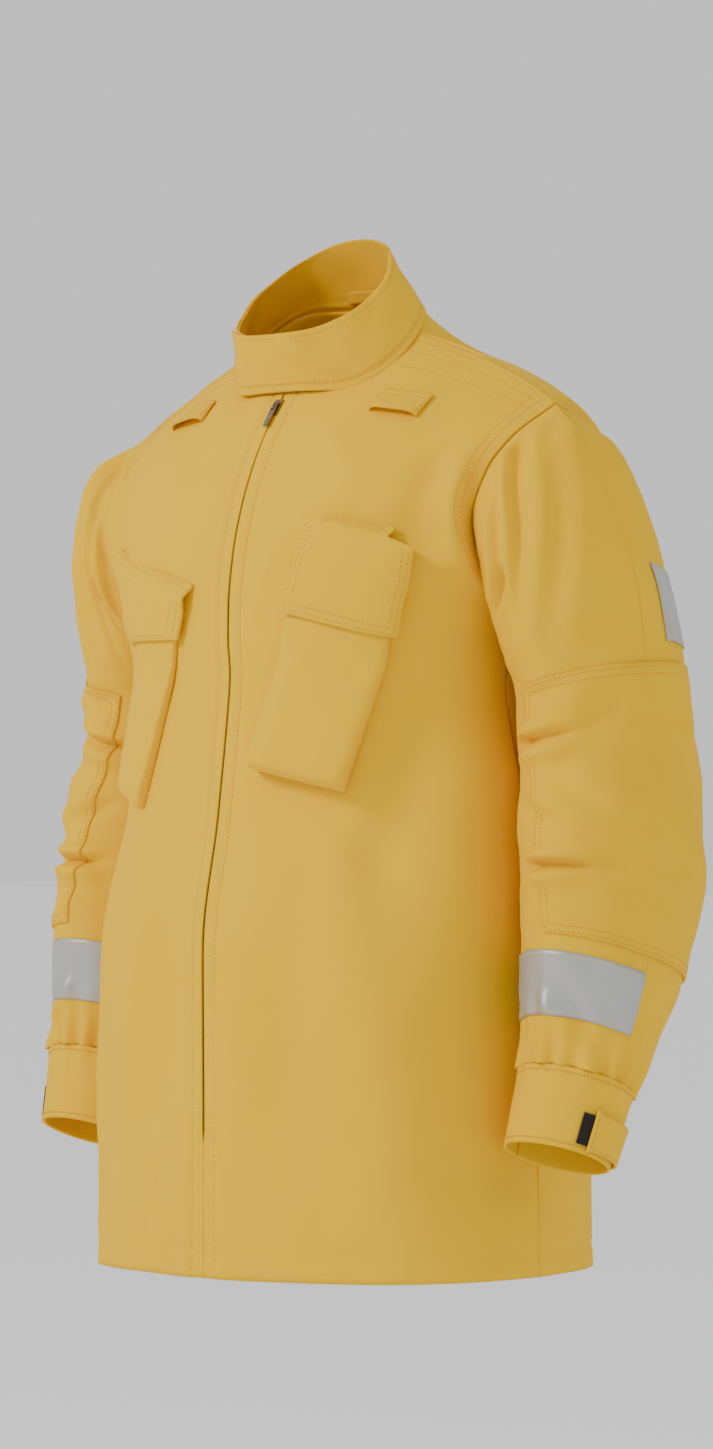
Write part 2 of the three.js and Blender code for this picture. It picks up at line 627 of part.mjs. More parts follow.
function zip() {
  const tapeOut = -CLOTH - LAY_GAP;
  const teethOut = tapeOut - 0.3;
  for (const side of [1, -1]) {
    const hand = side > 0 ? 'left' : 'right';
    const tapeStart = TOOTH_SLOT + TOOTH_WIDTH + 0.5;
    const steps = FRONT_STEPS - ZIP_FIRST_STEP;
    const zipStep = (b, low) => lerp(ZIP_FIRST_STEP + low, FRONT_STEPS - ZIP_TOP_STOP, b);
    addPiece(`${hand}_zip_tape`, slab(1, steps, tapeOut - ZIP_TAPE_CLOTH, tapeOut, (a, b, depth) => {
      const x = lerp(tapeStart, tapeStart + ZIP_TAPE_WIDTH, a);
      return behindPanel(x * side, zipStep(b, 0), depth);
    }), BLACK);
    addPiece(`${hand}_zip_teeth`, slab(1, steps, teethOut - TOOTH_DEPTH, teethOut, (a, b, depth) => {
      const x = lerp(TOOTH_SLOT, TOOTH_SLOT + TOOTH_WIDTH, a);
      return behindPanel(x * side, zipStep(b, 0.2), depth);
    }), BLACK, 0.5, 0.6);
    addPiece(`${hand}_front_facing`, slab(3, FRONT_STEPS, tapeOut - 1.4, tapeOut - 0.4, (a, b, depth) => {
      const start = tapeStart + ZIP_TAPE_WIDTH + 1;
      const x = lerp(start, start + FACING_WIDTH, a);
      return behindPanel(x * side, b * (FRONT_STEPS - 1), depth);
    }), YELLOW_DEEP);
  }
  addPiece('zip_bottom_stop', slab(1, 1, tapeOut - TOOTH_DEPTH, tapeOut, (a, b, depth) => {
    const half = TOOTH_SLOT + TOOTH_WIDTH;
    return behindPanel(lerp(-half, half, a), ZIP_FIRST_STEP + b * 0.13, depth);
  }), BRASS, 0.4, 0.8);

  // The slider: a plate in front of the teeth and one behind, joined by a web through the slot.
  const frontLow = 0.7;
  const backHigh = teethOut - TOOTH_DEPTH - SLIDER_BACK_GAP;
  const web = (halfWidth, low, high, zLow, zHigh) => slab(1, 2, low, high, (a, b, depth) => (
    onArc(lerp(-halfWidth, halfWidth, a), lerp(zLow, zHigh, b), depth)));
  const sliderLow = SLIDER_TRAVEL_TOP - SLIDER_LENGTH / 2;
  const sliderHigh = SLIDER_TRAVEL_TOP + SLIDER_LENGTH / 2;
  const frontPlate = web(SLIDER_WIDTH / 2, frontLow, frontLow + SLIDER_PLATE, sliderLow, sliderHigh);
  const backPlate = web(SLIDER_WIDTH / 2, backHigh - SLIDER_PLATE, backHigh, sliderLow, sliderHigh);
  const core = web(0.45, backHigh - 0.5, frontLow + 0.5, SLIDER_TRAVEL_TOP, sliderHigh - 1);
  const bailHigh = frontLow + SLIDER_PLATE + 2.6;
  const bail = web(1, frontLow + 0.5, bailHigh, SLIDER_TRAVEL_TOP - 3, SLIDER_TRAVEL_TOP + 1);
  addPiece('zip_slider', join(join(join(frontPlate, backPlate), core), bail), BRASS, 0.4, 0.8);

  // The pull: a plate with an eye at the top that goes round the bail.
  const pullLow = frontLow + SLIDER_PLATE + 0.8;
  const pullHigh = pullLow + 1.6;
  const plate = slab(1, 3, pullLow, pullHigh, (a, b, depth) => {
    const z = lerp(SLIDER_TRAVEL_TOP + 3.4 - PULL_LENGTH, SLIDER_TRAVEL_TOP + 3.4, b);
    return onArc(lerp(-PULL_WIDTH / 2, PULL_WIDTH / 2, a), z, depth);
  });
  const eye = slab(1, 1, pullLow - 2, pullHigh + 2, (a, b, depth) => (
    onArc(lerp(-1.4, 1.4, a), SLIDER_TRAVEL_TOP + lerp(-4.2, 1.6, b), depth)));
  addPiece('zip_pull', cut(plate, eye), BRASS, 0.4, 0.8);
}

// ---------------------------------------------------------------- pockets, flaps and tabs
const pocketDepth = (pocket, t) => lerp(
  pocket.depthBottom,
  pocket.depthTop,
  smoothstep(t, -pocket.halfLength, pocket.halfLength),
);

function pocketBody(pocket) {
  const face = (t) => POCKET_GAP + pocketDepth(pocket, t);
  const outer = mappedBox(8, 9, 1, (a, b, c) => {
    const s = lerp(-pocket.halfWidth, pocket.halfWidth, a);
    const t = lerp(-pocket.halfLength, pocket.halfLength, b);
    return onChest(pocket, s, t, lerp(POCKET_GAP, face(t), c));
  });
  const inner = mappedBox(8, 9, 1, (a, b, c) => {
    const inset = pocket.halfWidth - POCKET_WALL;
    const s = lerp(-inset, inset, a);
    const t = lerp(POCKET_WALL - pocket.halfLength, pocket.halfLength + 6, b);
    const back = POCKET_GAP + POCKET_WALL;
    return onChest(pocket, s, t, lerp(back, face(t) - POCKET_WALL, c));
  });
  return cut(outer, inner);
}

// A flap is sewn on above the pocket's mouth, comes out over its edge and hangs down its face.
function flapDepth(pocket, t, aboveMouth) {
  const hang = POCKET_GAP + LAY_GAP + pocketDepth(pocket, t);
  return lerp(hang, LAY_GAP, smoothstep(t, pocket.halfLength + 2, pocket.halfLength + aboveMouth));
}

// Seven tenths of a flap's steps hang down the pocket's face and the rest lead up to its seam.
const FLAP_SHARE = 0.7;
function flapLength(pocket, drop, high, b) {
  const edge = pocket.halfLength + 2;
  return b <= FLAP_SHARE
    ? lerp(pocket.halfLength - drop, edge, b / FLAP_SHARE)
    : lerp(edge, pocket.halfLength + high, (b - FLAP_SHARE) / (1 - FLAP_SHARE));
}

function radioFlap() {
  const { neckHalfWidth, halfWidth, above: high, below: low } = RADIO_FLAP;
  return slab(8, 10, 0, FLAP_CLOTH, (a, b, depth) => {
    const t = flapLength(RADIO, low, high, b);
    const wide = b > 0.75 ? neckHalfWidth : halfWidth;
    return onChest(RADIO, lerp(-wide, wide, a), t, depth + flapDepth(RADIO, t, high - 2));
  });
}

function bellowsFlap() {
  const { halfWidth, above: high, below: low, point: tip } = BELLOWS_FLAP;
  return slab(12, 10, 0, FLAP_CLOTH, (a, b, depth) => {
    const s = lerp(-halfWidth, halfWidth, a);
    const drop = low + tip * (1 - Math.abs(2 * a - 1));
    const t = flapLength(BELLOWS, drop, high, b);
    return onChest(BELLOWS, s, t, depth + flapDepth(BELLOWS, t, high - 4));
  });
}

function micTab(side) {
  const at = { ...MIC_TAB, around: MIC_TAB.around * side, turn: MIC_TAB.turn * side };
  const outer = mappedBox(4, 2, 1, (a, b, c) => onChest(
    at,
    lerp(-at.halfWidth, at.halfWidth, a),
    lerp(-at.halfHeight, at.halfHeight, b),
    lerp(TAB_GAP, TAB_GAP + at.depth, c),
  ));
  const inner = mappedBox(6, 2, 1, (a, b, c) => onChest(
    at,
    lerp(-at.halfWidth - 3, at.halfWidth + 3, a),
    lerp(at.wall - at.halfHeight, at.halfHeight - at.wall, b),
    lerp(TAB_GAP + at.wall, TAB_GAP + at.depth - at.wall, c),
  ));
  return cut(outer, inner);
}

function pockets() {
  addPiece('radio_pocket', pocketBody(RADIO), YELLOW);
  addPiece('radio_pocket_flap', radioFlap(), YELLOW);
  addPiece('bellows_pocket', pocketBody(BELLOWS), YELLOW);
  addPiece('bellows_pocket_flap', bellowsFlap(), YELLOW);
  addPiece('left_mic_tab', micTab(1), YELLOW);
  addPiece('right_mic_tab', micTab(-1), YELLOW);
}

bodyPanels();
sleeves();
backBand();
collar();
zip();
pockets();

// The origin goes to the hanger loop at the back of the neck.
const hangingPoint = neckPoint(180);
coat.position.set(-hangingPoint.x, -hangingPoint.y, -hangingPoint.z);
coat.updateMatrixWorld(true);

export default coat;
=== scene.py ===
# %% [markdown]
# # A firefighter's turnout coat, hanging as it is worn
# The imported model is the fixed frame: it gives the places, the bodies and the joints.
# Every cloth piece is made again here at a finer grain, with its folds, seams and stitches.

# %% Load the frame
import math

import bmesh
import bpy
import numpy as np
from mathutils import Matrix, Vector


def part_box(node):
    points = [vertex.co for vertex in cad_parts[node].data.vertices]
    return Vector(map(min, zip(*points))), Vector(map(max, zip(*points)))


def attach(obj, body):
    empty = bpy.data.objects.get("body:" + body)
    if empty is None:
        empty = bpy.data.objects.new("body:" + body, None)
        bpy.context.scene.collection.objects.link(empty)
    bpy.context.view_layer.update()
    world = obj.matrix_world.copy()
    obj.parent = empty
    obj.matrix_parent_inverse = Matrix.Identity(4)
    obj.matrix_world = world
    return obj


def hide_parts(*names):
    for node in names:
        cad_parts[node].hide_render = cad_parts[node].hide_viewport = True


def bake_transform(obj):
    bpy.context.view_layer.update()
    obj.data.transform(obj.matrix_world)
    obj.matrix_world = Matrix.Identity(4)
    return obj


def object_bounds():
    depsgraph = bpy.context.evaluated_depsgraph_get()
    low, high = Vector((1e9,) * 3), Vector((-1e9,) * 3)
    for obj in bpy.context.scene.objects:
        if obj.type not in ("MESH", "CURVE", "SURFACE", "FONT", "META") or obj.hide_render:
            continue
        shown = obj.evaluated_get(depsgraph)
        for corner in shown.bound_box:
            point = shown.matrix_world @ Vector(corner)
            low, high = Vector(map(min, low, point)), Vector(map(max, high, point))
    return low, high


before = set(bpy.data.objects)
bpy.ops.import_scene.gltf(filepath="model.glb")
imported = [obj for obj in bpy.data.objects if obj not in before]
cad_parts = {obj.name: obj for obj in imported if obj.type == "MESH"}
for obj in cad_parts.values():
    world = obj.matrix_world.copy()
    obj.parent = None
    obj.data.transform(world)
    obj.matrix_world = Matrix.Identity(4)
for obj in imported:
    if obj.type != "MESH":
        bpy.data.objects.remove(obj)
cad_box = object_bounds()
MM = 0.001
print("pieces in the frame:", len(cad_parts))

# %% [markdown]
# ## The coat's own ruler
# A tailor measures a coat up from its hem and out from its middle. The same is done here, in
# millimetres: the hem's height, its depth and the middle are read from the frame, and the other main sizes are
# given as numbers.

# %% Main sizes
front_low, front_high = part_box("left_front")
back_low, back_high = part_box("back_panel")
HEM_DEPTH = (back_high[1] - front_low[1]) / 2 / MM
HEM_Z = front_low[2] / MM
FRONT_SWELL = 1.0    # the front swells this much more than the back
MIDDLE_Y = (back_high[1] + front_low[1]) / 2 / MM + FRONT_SWELL / 2
SHOULDER_HALF = 223.0
HEM_HALF = 208.0
CHEST_HALF = 184.0
WAIST_HALF = 173.0
BODY_LENGTH = 741.0
UNDERARM = 558.0
SHOULDER_Z = 727.0
ARC_RADIUS, ARC_Y, ARC_Z = 310.0, 154.0, 540.0
CLOTH = 1.6          # shell cloth
LINING_CLOTH = 1.0
TAPE_CLOTH = 0.9
TAPE_LIFT = 1.3      # how far the tape's face stands off the cloth under it
ZIP_BEHIND = 2.6     # how far the zip's tape lies behind the front's face
FACING_BEHIND = 3.4
YOKE_BEHIND = 3.2
HEM_ROW = 20         # the hem's stitches, above the hem
ZIP_ROW = 12.5       # the zip's stitches, from the middle
print("hem depth", round(HEM_DEPTH, 1), "mm, hem at", round(HEM_Z, 1), "mm")


span = np.linspace


def to_frame(points):
    """Coat millimetres to frame metres."""
    return (np.asarray(points, float) + np.array([0.0, MIDDLE_Y, HEM_Z])) * MM


def lerp(a, b, t):
    return a + (b - a) * t


def smooth(x, low, high):
    t = np.clip((np.asarray(x, float) - low) / (high - low), 0, 1)
    return t * t * (3 - 2 * t)


# %% [markdown]
# ## Surfaces from rows
# A garment panel is drafted as a few rows from edge to edge. A smooth surface through the rows could be
# a subdivision mesh or a formula. A formula is used, because a piece laid on the cloth, such as a pocket,
# can then ask it for any point, and for the direction that is out of the cloth there.

# %% Rows and the surface through them
def bezier_row(a, b, c, d):
    a, b, c, d = (np.array(p, float) for p in (a, b, c, d))

    def row(u):
        u = np.asarray(u, float)[:, None]
        return (1 - u) ** 3 * a + 3 * (1 - u) ** 2 * u * b + 3 * (1 - u) * u**2 * c + u**3 * d

    return row


def eased(before, after):
    total = before + after
    safe = np.where(np.abs(total) < 1e-9, 1, total)
    return np.where(before * after <= 0, 0, 2 * before * after / safe)


def across_rows(rows, u, v):
    u, v = np.asarray(u, float), np.asarray(v, float)
    table = np.array([row(u) for row in rows])
    last = len(rows) - 1
    k = np.clip(np.floor(v).astype(int), 0, last - 1)
    n = np.arange(len(u))
    low, high = table[k, n], table[k + 1, n]
    before, after = table[np.maximum(k - 1, 0), n], table[np.minimum(k + 2, last), n]
    middle = high - low
    m1 = np.where((k > 0)[:, None], eased(low - before, middle), middle)
    m2 = np.where((k + 2 <= last)[:, None], eased(middle, after - high), middle)
    t = (v - k)[:, None]
    t2, t3 = t * t, t * t * t
    return (2 * t3 - 3 * t2 + 1) * low + (t3 - 2 * t2 + t) * m1 + (3 * t2 - 2 * t3) * high + (t3 - t2) * m2


def lifted(surface, u, v, depth, u_range, v_range, sign):
    """Points of a surface moved out of the cloth by a depth."""
    step = 0.02
    u, v = np.asarray(u, float), np.asarray(v, float)
    ua, ub = np.maximum(u - step, u_range[0]), np.minimum(u + step, u_range[1])
    va, vb = np.maximum(v - step, v_range[0]), np.minimum(v + step, v_range[1])
    normal = np.cross(surface(ub, v) - surface(ua, v), surface(u, vb) - surface(u, va))
    normal /= np.linalg.norm(normal, axis=1)[:, None]
    return surface(u, v) + normal * (sign * np.asarray(depth, float))[..., None]


# %% The neck seam and the shoulder seam
def neck_point(angle):
    """Degrees round the neck from the centre front towards the wearer's left."""
    angle = np.asarray(angle, float)
    fold = np.abs((angle + 180) % 360 - 180)
    turn = np.radians(angle)
    rise = BODY_LENGTH + 79 * smooth(fold, 30, 145)
    return np.stack([86 * np.sin(turn), -21 - 62 * np.cos(turn), rise], axis=1)


NECK_SHARE, SHOULDER_ANGLE = 0.42, 100.0


def top_row(start_angle):
    end = neck_point([SHOULDER_ANGLE])[0]
    run, drop = SHOULDER_HALF - end[0], end[2] - SHOULDER_Z
    seam = bezier_row(
        end,
        (end[0] + run * 0.2, 6, end[2] - drop * 0.12),
        (end[0] + run * 0.7, 8, SHOULDER_Z + drop * 0.45),
        (SHOULDER_HALF, 3, SHOULDER_Z),
    )

    def row(u):
        u = np.asarray(u, float)
        neck = neck_point(lerp(start_angle, SHOULDER_ANGLE, np.clip(u / NECK_SHARE, 0, 1)))
        shoulder = seam(np.clip((u - NECK_SHARE) / (1 - NECK_SHARE), 0, 1))
        return np.where((u < NECK_SHARE)[:, None], neck, shoulder)

    return row


# %% The body's rows
def arc_y(z):
    return ARC_Y - math.sqrt(ARC_RADIUS**2 - (z - ARC_Z) ** 2)


def low_row(z, middle, side):
    boxy = 0.68
    return bezier_row((0, middle, z), (side * boxy, middle, z), (side, middle * boxy, z), (side, 0, z))


def high_row(middle_y, z, reach, edge, back_off):
    edge = np.array(edge, float)
    return bezier_row((0, middle_y, z), (reach, middle_y, z), edge + np.array(back_off), edge)


def armhole(share):
    return lerp(UNDERARM, SHOULDER_Z, share)


low_sections = [
    (0.0, HEM_HALF, -HEM_DEPTH, HEM_DEPTH),
    (0.215, HEM_HALF - 2, -HEM_DEPTH, HEM_DEPTH - 2),
    (0.48, HEM_HALF - 10, -HEM_DEPTH - 1, HEM_DEPTH - 10),
    (0.69, (WAIST_HALF + HEM_HALF) / 2 - 6, -168, 163),
    (0.895, WAIST_HALF, arc_y(500), 150),
    (0.95, WAIST_HALF + 3, arc_y(530), 148),
    (1.0, CHEST_HALF, arc_y(558), 146),
]
front_rows = [low_row(UNDERARM * s, front, half) for s, half, front, back in low_sections] + [
    high_row(arc_y(600), 600, 110, (CHEST_HALF + 10, -62, armhole(0.23)), (-24, -56, 2)),
    high_row(arc_y(640), 640, 105, (CHEST_HALF + 15, -78, armhole(0.44)), (-52, -44, 6)),
    high_row(arc_y(680), 680, 90, (SHOULDER_HALF - 20, -66, armhole(0.645)), (-54, -38, 10)),
    high_row(arc_y(712), 712, 75, (SHOULDER_HALF - 12, -42, armhole(0.82)), (-66, -38, 15)),
    top_row(0),
]
back_rows = [low_row(UNDERARM * s, back, half) for s, half, front, back in low_sections] + [
    high_row(145, 600, 120, (CHEST_HALF + 16, 64, armhole(0.2)), (-10, 58, 5)),
    high_row(144, 645, 125, (CHEST_HALF + 26, 88, armhole(0.4)), (-18, 40, 7)),
    high_row(138, 690, 120, (SHOULDER_HALF - 7, 92, armhole(0.605)), (-24, 34, 12)),
    high_row(120, 740, 105, (SHOULDER_HALF - 2, 74, armhole(0.795)), (-36, 36, 20)),
    high_row(88, 785, 90, (SHOULDER_HALF, 40, armhole(0.925)), (-45, 24, 34)),
    top_row(180),
]
UNDERARM_ROW = len(low_sections) - 1
FRONT_TOP, BACK_TOP = len(front_rows) - 1, len(back_rows) - 1


def front_surface(u, v):
    return across_rows(front_rows, u, v)


def back_surface(u, v):
    return across_rows(back_rows, u, v)


def front_at(u, v, depth):
    return lifted(front_surface, u, v, depth, (0, 1), (0, FRONT_TOP), 1)


def back_at(u, v, depth):
    return lifted(back_surface, u, v, depth, (0, 1), (0, BACK_TOP), -1)


# %% [markdown]
# ## Places on the chest
# Pockets are marked out on the cloth by tape measure: so far round from the zip, so far up from the hem.
# The surface can't be asked that way, so a fine table of the cloth is made once, with the distance round
# at each point, and a place is looked up between its points.

# %% Chest lookup
GRID_U, GRID_V = 90, 240
_u = span(0, 1, GRID_U)
_heights = span(2, BODY_LENGTH - 2, 300)
_v_line = span(0, FRONT_TOP, GRID_V)
_columns = [front_surface(np.full(GRID_V, u), _v_line) for u in _u]
_v_at = np.array([np.interp(_heights, column[:, 2], _v_line) for column in _columns])
_flat = np.array([front_surface(np.full(len(_heights), u), _v_at[i]) for i, u in enumerate(_u)])
_steps = np.hypot(*(np.diff(_flat[:, :, k], axis=0) for k in (0, 1)))
_round = np.vstack([np.zeros(len(_heights)), np.cumsum(_steps, axis=0)])


def chest(around, z, depth):
    """Points on the front, by the distance round from the zip and the height above the hem."""
    around, z = np.asarray(around, float), np.asarray(z, float)
    depth = np.broadcast_to(np.asarray(depth, float), around.shape)
    row = np.clip((z - _heights[0]) / (_heights[1] - _heights[0]), 0, len(_heights) - 1.001)
    k = row.astype(int)
    share = row - k
    u, v = np.empty(len(around)), np.empty(len(around))
    for i in range(len(around)):
        line = lerp(_round[:, k[i]], _round[:, k[i] + 1], share[i])
        u[i] = np.interp(abs(around[i]), line, _u)
        v[i] = np.interp(u[i], _u, lerp(_v_at[:, k[i]], _v_at[:, k[i] + 1], share[i]))
    points = front_at(u, v, depth)
    points[:, 0] *= np.where(around < 0, -1, 1)
    return points


def on_chest(piece, s, t, depth):
    turn = math.radians(piece["turn"])
    s, t = np.asarray(s, float), np.asarray(t, float)
    around = piece["around"] + s * math.cos(turn) - t * math.sin(turn)
    z = piece["z"] + s * math.sin(turn) + t * math.cos(turn)
    return chest(around, z, depth)


print("the front is", round(float(_round[-1].max())), "mm round at most")

# %% [markdown]
# ## The sleeve
# A sleeve is a tube that starts at the armhole and follows a relaxed, slightly bent arm. Oval rings down
# the arm give its shape, and each ring knows how far it is tilted and how far it leans forward.

# %% Sleeve rings
SEAM_ANGLE = 352.0
rings = [
    (219, 10, 622, 66, 85, 90, 0),
    (231.5, 18, 585, 51, 77, 92, 0),
    (238, 30, 540, 35, 68, 93, 0),
    (242, 42, 495, 14, 59, 92, 0),
    (244, 46, 440, 2, 59, 93, 0),
    (252, 40, 385, 0, 61, 97, 4),
    (258, 30, 325, 0, 60, 93, 10),
    (263, 12, 257, 0, 57, 82, 17),
    (265, -6, 207, 0, 52, 64, 20),
    (264, -22, 165, 0, 47, 50, 20),
]
cuff_end = (259, -43, 103, 0, 43, 46, 20)
RING_Z = np.array([ring[2] for ring in rings], float)


def ring_row(ring):
    x, y, z, tilt, out_half, back_half, lean = ring
    tilt, lean = math.radians(tilt), math.radians(lean)

    def row(angle):
        turn = np.radians(np.asarray(angle, float))
        out, back = out_half * np.cos(turn), back_half * np.sin(turn)
        return np.stack(
            [
                x + out * math.cos(tilt),
                y + back * math.cos(lean),
                z + out * math.sin(tilt) - back * math.sin(lean),
            ],
            axis=1,
        )

    return row


def armhole_row(angle):
    angle = np.asarray(angle, float)
    front_v = lerp(UNDERARM_ROW, FRONT_TOP, np.clip((angle - 180) / (SEAM_ANGLE - 180), 0, 1))
    back_v = lerp(BACK_TOP, UNDERARM_ROW, np.clip((angle - SEAM_ANGLE) / (540 - SEAM_ANGLE), 0, 1))
    one = np.ones(len(angle))
    front = front_surface(one, front_v)
    back = back_surface(one, back_v)
    edge = np.where((angle <= SEAM_ANGLE)[:, None], front, back)
    return edge + np.array([0.6, 0, 0])


sleeve_rows = [armhole_row] + [ring_row(ring) for ring in rings]
CUFF_ROW = len(rings)
cuff_rows = [sleeve_rows[CUFF_ROW], ring_row(cuff_end)]


def tube_at(rows, angle, w, depth):
    def surface(a, b):
        return across_rows(rows, a * 100, b)

    return lifted(surface, np.asarray(angle) / 100, w, depth, (1.8, 5.4), (0, len(rows) - 1), -1)


def sleeve_at(angle, w, depth):
    return tube_at(sleeve_rows, angle, w, depth)


def cuff_at(angle, w, depth):
    return tube_at(cuff_rows, angle, w, depth)


def sleeve_row_at(z):
    """The row of the sleeve whose middle is at a height."""
    return 1 + np.interp(-np.asarray(z, float), -RING_Z, np.arange(len(rings)))


def sleeve_height(w):
    return np.interp(np.asarray(w, float), np.arange(len(rings) + 1), np.concatenate([[690], RING_Z]))


# %% [markdown]
# ## Folds
# Cloth folds where it is held and where it is spare: it hangs in ridges from the shoulder, crosses the
# inside of an elbow in creases, and gathers above a cuff. A simulation would find its own folds. These are
# placed instead, each as a soft ridge or groove along a line, so that they lie where this coat has them.

# %% Ridges, grooves and a slow ripple
def ridge(x, y, start, end, width, height, sharp=1.0):
    """A ridge along a line, fading at both ends. A negative height is a groove."""
    start, end = np.array(start, float), np.array(end, float)
    line = end - start
    length = np.linalg.norm(line)
    line = line / length
    dx, dy = x - start[0], y - start[1]
    along = (dx * line[0] + dy * line[1]) / length
    aside = dx * line[1] - dy * line[0]
    fade = smooth(along, -0.15, 0.3) * (1 - smooth(along, 0.6, 1.15))
    return height * fade * np.exp(-np.abs(aside / width) ** (2 * sharp))


def ripple(x, y, size, seed):
    """A slow, uneven wave between -1 and 1, the same each run."""
    draw = np.random.default_rng(seed)
    total = np.zeros(np.broadcast(x, y).shape)
    for _ in range(5):
        angle, phase = draw.uniform(0, 2 * math.pi, 2)
        wave = draw.uniform(0.7, 1.5) * 2 * math.pi / size
        total = total + np.sin((x * math.cos(angle) + y * math.sin(angle)) * wave + phase)
    return total / 5


# (start, end, width, height) in millimetres: out from the zip, and above the hem
BODY_FOLDS = [
    ((186, 690), (182, 556), 10, 9),
    ((200, 660), (196, 570), 6, -4),
    ((168, 690), (160, 590), 16, -4),
    ((150, 500), (146, 300), 20, -5),
    ((176, 470), (182, 250), 18, 5),
    ((120, 420), (128, 180), 24, 4),
    ((90, 330), (84, 60), 26, -4),
    ((150, 260), (165, 20), 24, 5),
    ((40, 300), (34, 40), 26, 3),
    ((190, 240), (196, 10), 18, -5),
    ((100, 400), (150, 330), 14, -3),
    ((60, 710), (120, 650), 16, 3),
]
RIGHT_FOLDS = [
    ((186, 680), (184, 560), 11, 7),
    ((160, 640), (90, 560), 15, 3),
    ((170, 380), (186, 60), 20, 6),
    ((135, 360), (150, 60), 22, -5),
    ((80, 380), (95, 80), 30, 4),
    ((40, 420), (48, 120), 26, -3),
    ((110, 690), (60, 640), 14, 2.5),
]


def front_folds(points, side):
    x, z = np.abs(points[:, 0]), points[:, 2]
    total = 1.2 * ripple(x * side, z, 150, 3) + 0.5 * ripple(x * side, z, 60, 4)
    for start, end, width, height in BODY_FOLDS if side > 0 else RIGHT_FOLDS:
        total = total + ridge(x, z, start, end, width, height)
    hem_sway = 4 * np.sin(x / 34 + (1 if side > 0 else 2.2)) * (1 - smooth(z, 0, 260))
    calm = smooth(x, 2, 22) * (1 - smooth(x, 196, 214))
    seam = -1.5 * np.exp(-(((z - 20) / 3) ** 2)) - 1.3 * np.exp(-(((x - 13) / 2.5) ** 2))
    return (1.5 * total + hem_sway) * calm + seam


# %% [markdown]
# ## From a surface to a piece of cloth
# A sheet with no thickness shows as paper at its edges. Each panel is made as two skins with a rim
# between them, a closed piece. The pocket bags also have their area measured, and their flat cut size is
# printed.

# %% Make a closed piece of cloth
pieces = {}


def closed_mesh(name, outer, inner, rows, columns):
    """A closed mesh from two grids of points, rows by columns."""
    count = rows * columns
    index = np.arange(count).reshape(rows, columns)
    faces = []
    for i in range(rows - 1):
        for j in range(columns - 1):
            quad = (index[i, j], index[i, j + 1], index[i + 1, j + 1], index[i + 1, j])
            faces.append(tuple(int(q) for q in quad))
            faces.append(tuple(int(q) + count for q in reversed(quad)))
    rim = list(index[0, :]) + list(index[1:, -1]) + list(index[-1, -2::-1]) + list(index[-2:0:-1, 0])
    skin_faces = len(faces)
    for a, b in zip(rim, rim[1:] + rim[:1]):
        faces.append((int(b), int(a), int(a) + count, int(b) + count))
    mesh = bpy.data.meshes.new(name)
    mesh.from_pydata(np.vstack([outer, inner]).tolist(), [], faces)
    smooth_flags = [i < skin_faces for i in range(len(faces))]
    mesh.polygons.foreach_set("use_smooth", smooth_flags)
    mesh.update()
    return mesh


def face_out(mesh):
    work = bmesh.new()
    work.from_mesh(mesh)
    bmesh.ops.recalc_face_normals(work, faces=work.faces)
    work.to_mesh(mesh)
    work.free()


def grid_area(grid):
    """Area in square metres, and the longest width and length, of a grid of points in metres."""
    du, dv = np.diff(grid, axis=1), np.diff(grid, axis=0)
    cells = np.linalg.norm(np.cross(du[:-1], dv[:, :-1]), axis=2)
    width = np.linalg.norm(du, axis=2).sum(axis=1).max()
    length = np.linalg.norm(dv, axis=2).sum(axis=0).max()
    return float(cells.sum()), float(width), float(length)


def cloth(name, at, us, vs, depth, thick, material, stands_for=(), body="root",
          mirror=1, bend=None):
    """A closed piece of cloth over a patch of a surface. depth is a number or a function of the points."""
    rows, columns = len(vs), len(us)
    u, v = (grid.ravel() for grid in np.meshgrid(us, vs))
    base = at(u, v, np.zeros(u.size))
    lift = depth(base, u, v) if callable(depth) else np.full(u.size, float(depth))
    outer, inner = at(u, v, lift), at(u, v, lift - thick)
    for points in (outer, inner):
        points[:, 0] *= mirror
    outer, inner = to_frame(outer), to_frame(inner)
    mesh = closed_mesh(name, outer, inner, rows, columns)
    face_out(mesh)
    uv = mesh.uv_layers.new(name="cloth")
    grid = outer.reshape(rows, columns, 3)
    along_u = np.zeros((rows, columns))
    along_v = np.zeros((rows, columns))
    along_u[:, 1:] = np.cumsum(np.linalg.norm(np.diff(grid, axis=1), axis=2), axis=1)
    along_v[1:, :] = np.cumsum(np.linalg.norm(np.diff(grid, axis=0), axis=2), axis=0)
    flat = np.stack([along_u.ravel(), along_v.ravel()], axis=1)
    flat = np.vstack([flat, flat])
    loop_vertex = np.empty(len(mesh.loops), int)
    mesh.loops.foreach_get("vertex_index", loop_vertex)
    uv.data.foreach_set("uv", flat[loop_vertex].ravel())
    mesh.materials.append(material)
    piece = bpy.data.objects.new(name, mesh)
    bpy.context.scene.collection.objects.link(piece)
    if bend is None:
        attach(piece, body)
    else:
        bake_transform(piece)
    if stands_for:
        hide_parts(*stands_for)
    pieces[name] = piece
    return piece


# %% [markdown]
# ## Finishes
# A material is a sum: a colour, plus a little unevenness, plus the weave. Node graphs are hard to read as
# wires, so one small class lets them be written as sums.

# %% Sums of shader nodes
class Sock:
    """One output of a shader node, with arithmetic."""

    def __init__(self, tree, socket):
        self.tree, self.socket = tree, socket

    def math(self, kind, *others, first=None):
        node = self.tree.nodes.new("ShaderNodeMath")
        node.operation = kind
        inputs = [first if first is not None else self, *others]
        for slot, value in zip(node.inputs, inputs):
            if isinstance(value, Sock):
                self.tree.links.new(value.socket, slot)
            else:
                slot.default_value = value
        return Sock(self.tree, node.outputs[0])

    def __add__(self, other):
        return self.math("ADD", other)

    __radd__ = __add__

    def __mul__(self, other):
        return self.math("MULTIPLY", other)

    __rmul__ = __mul__

    def __sub__(self, other):
        return self.math("SUBTRACT", other)

    def __rsub__(self, other):
        return self.math("SUBTRACT", self, first=other)


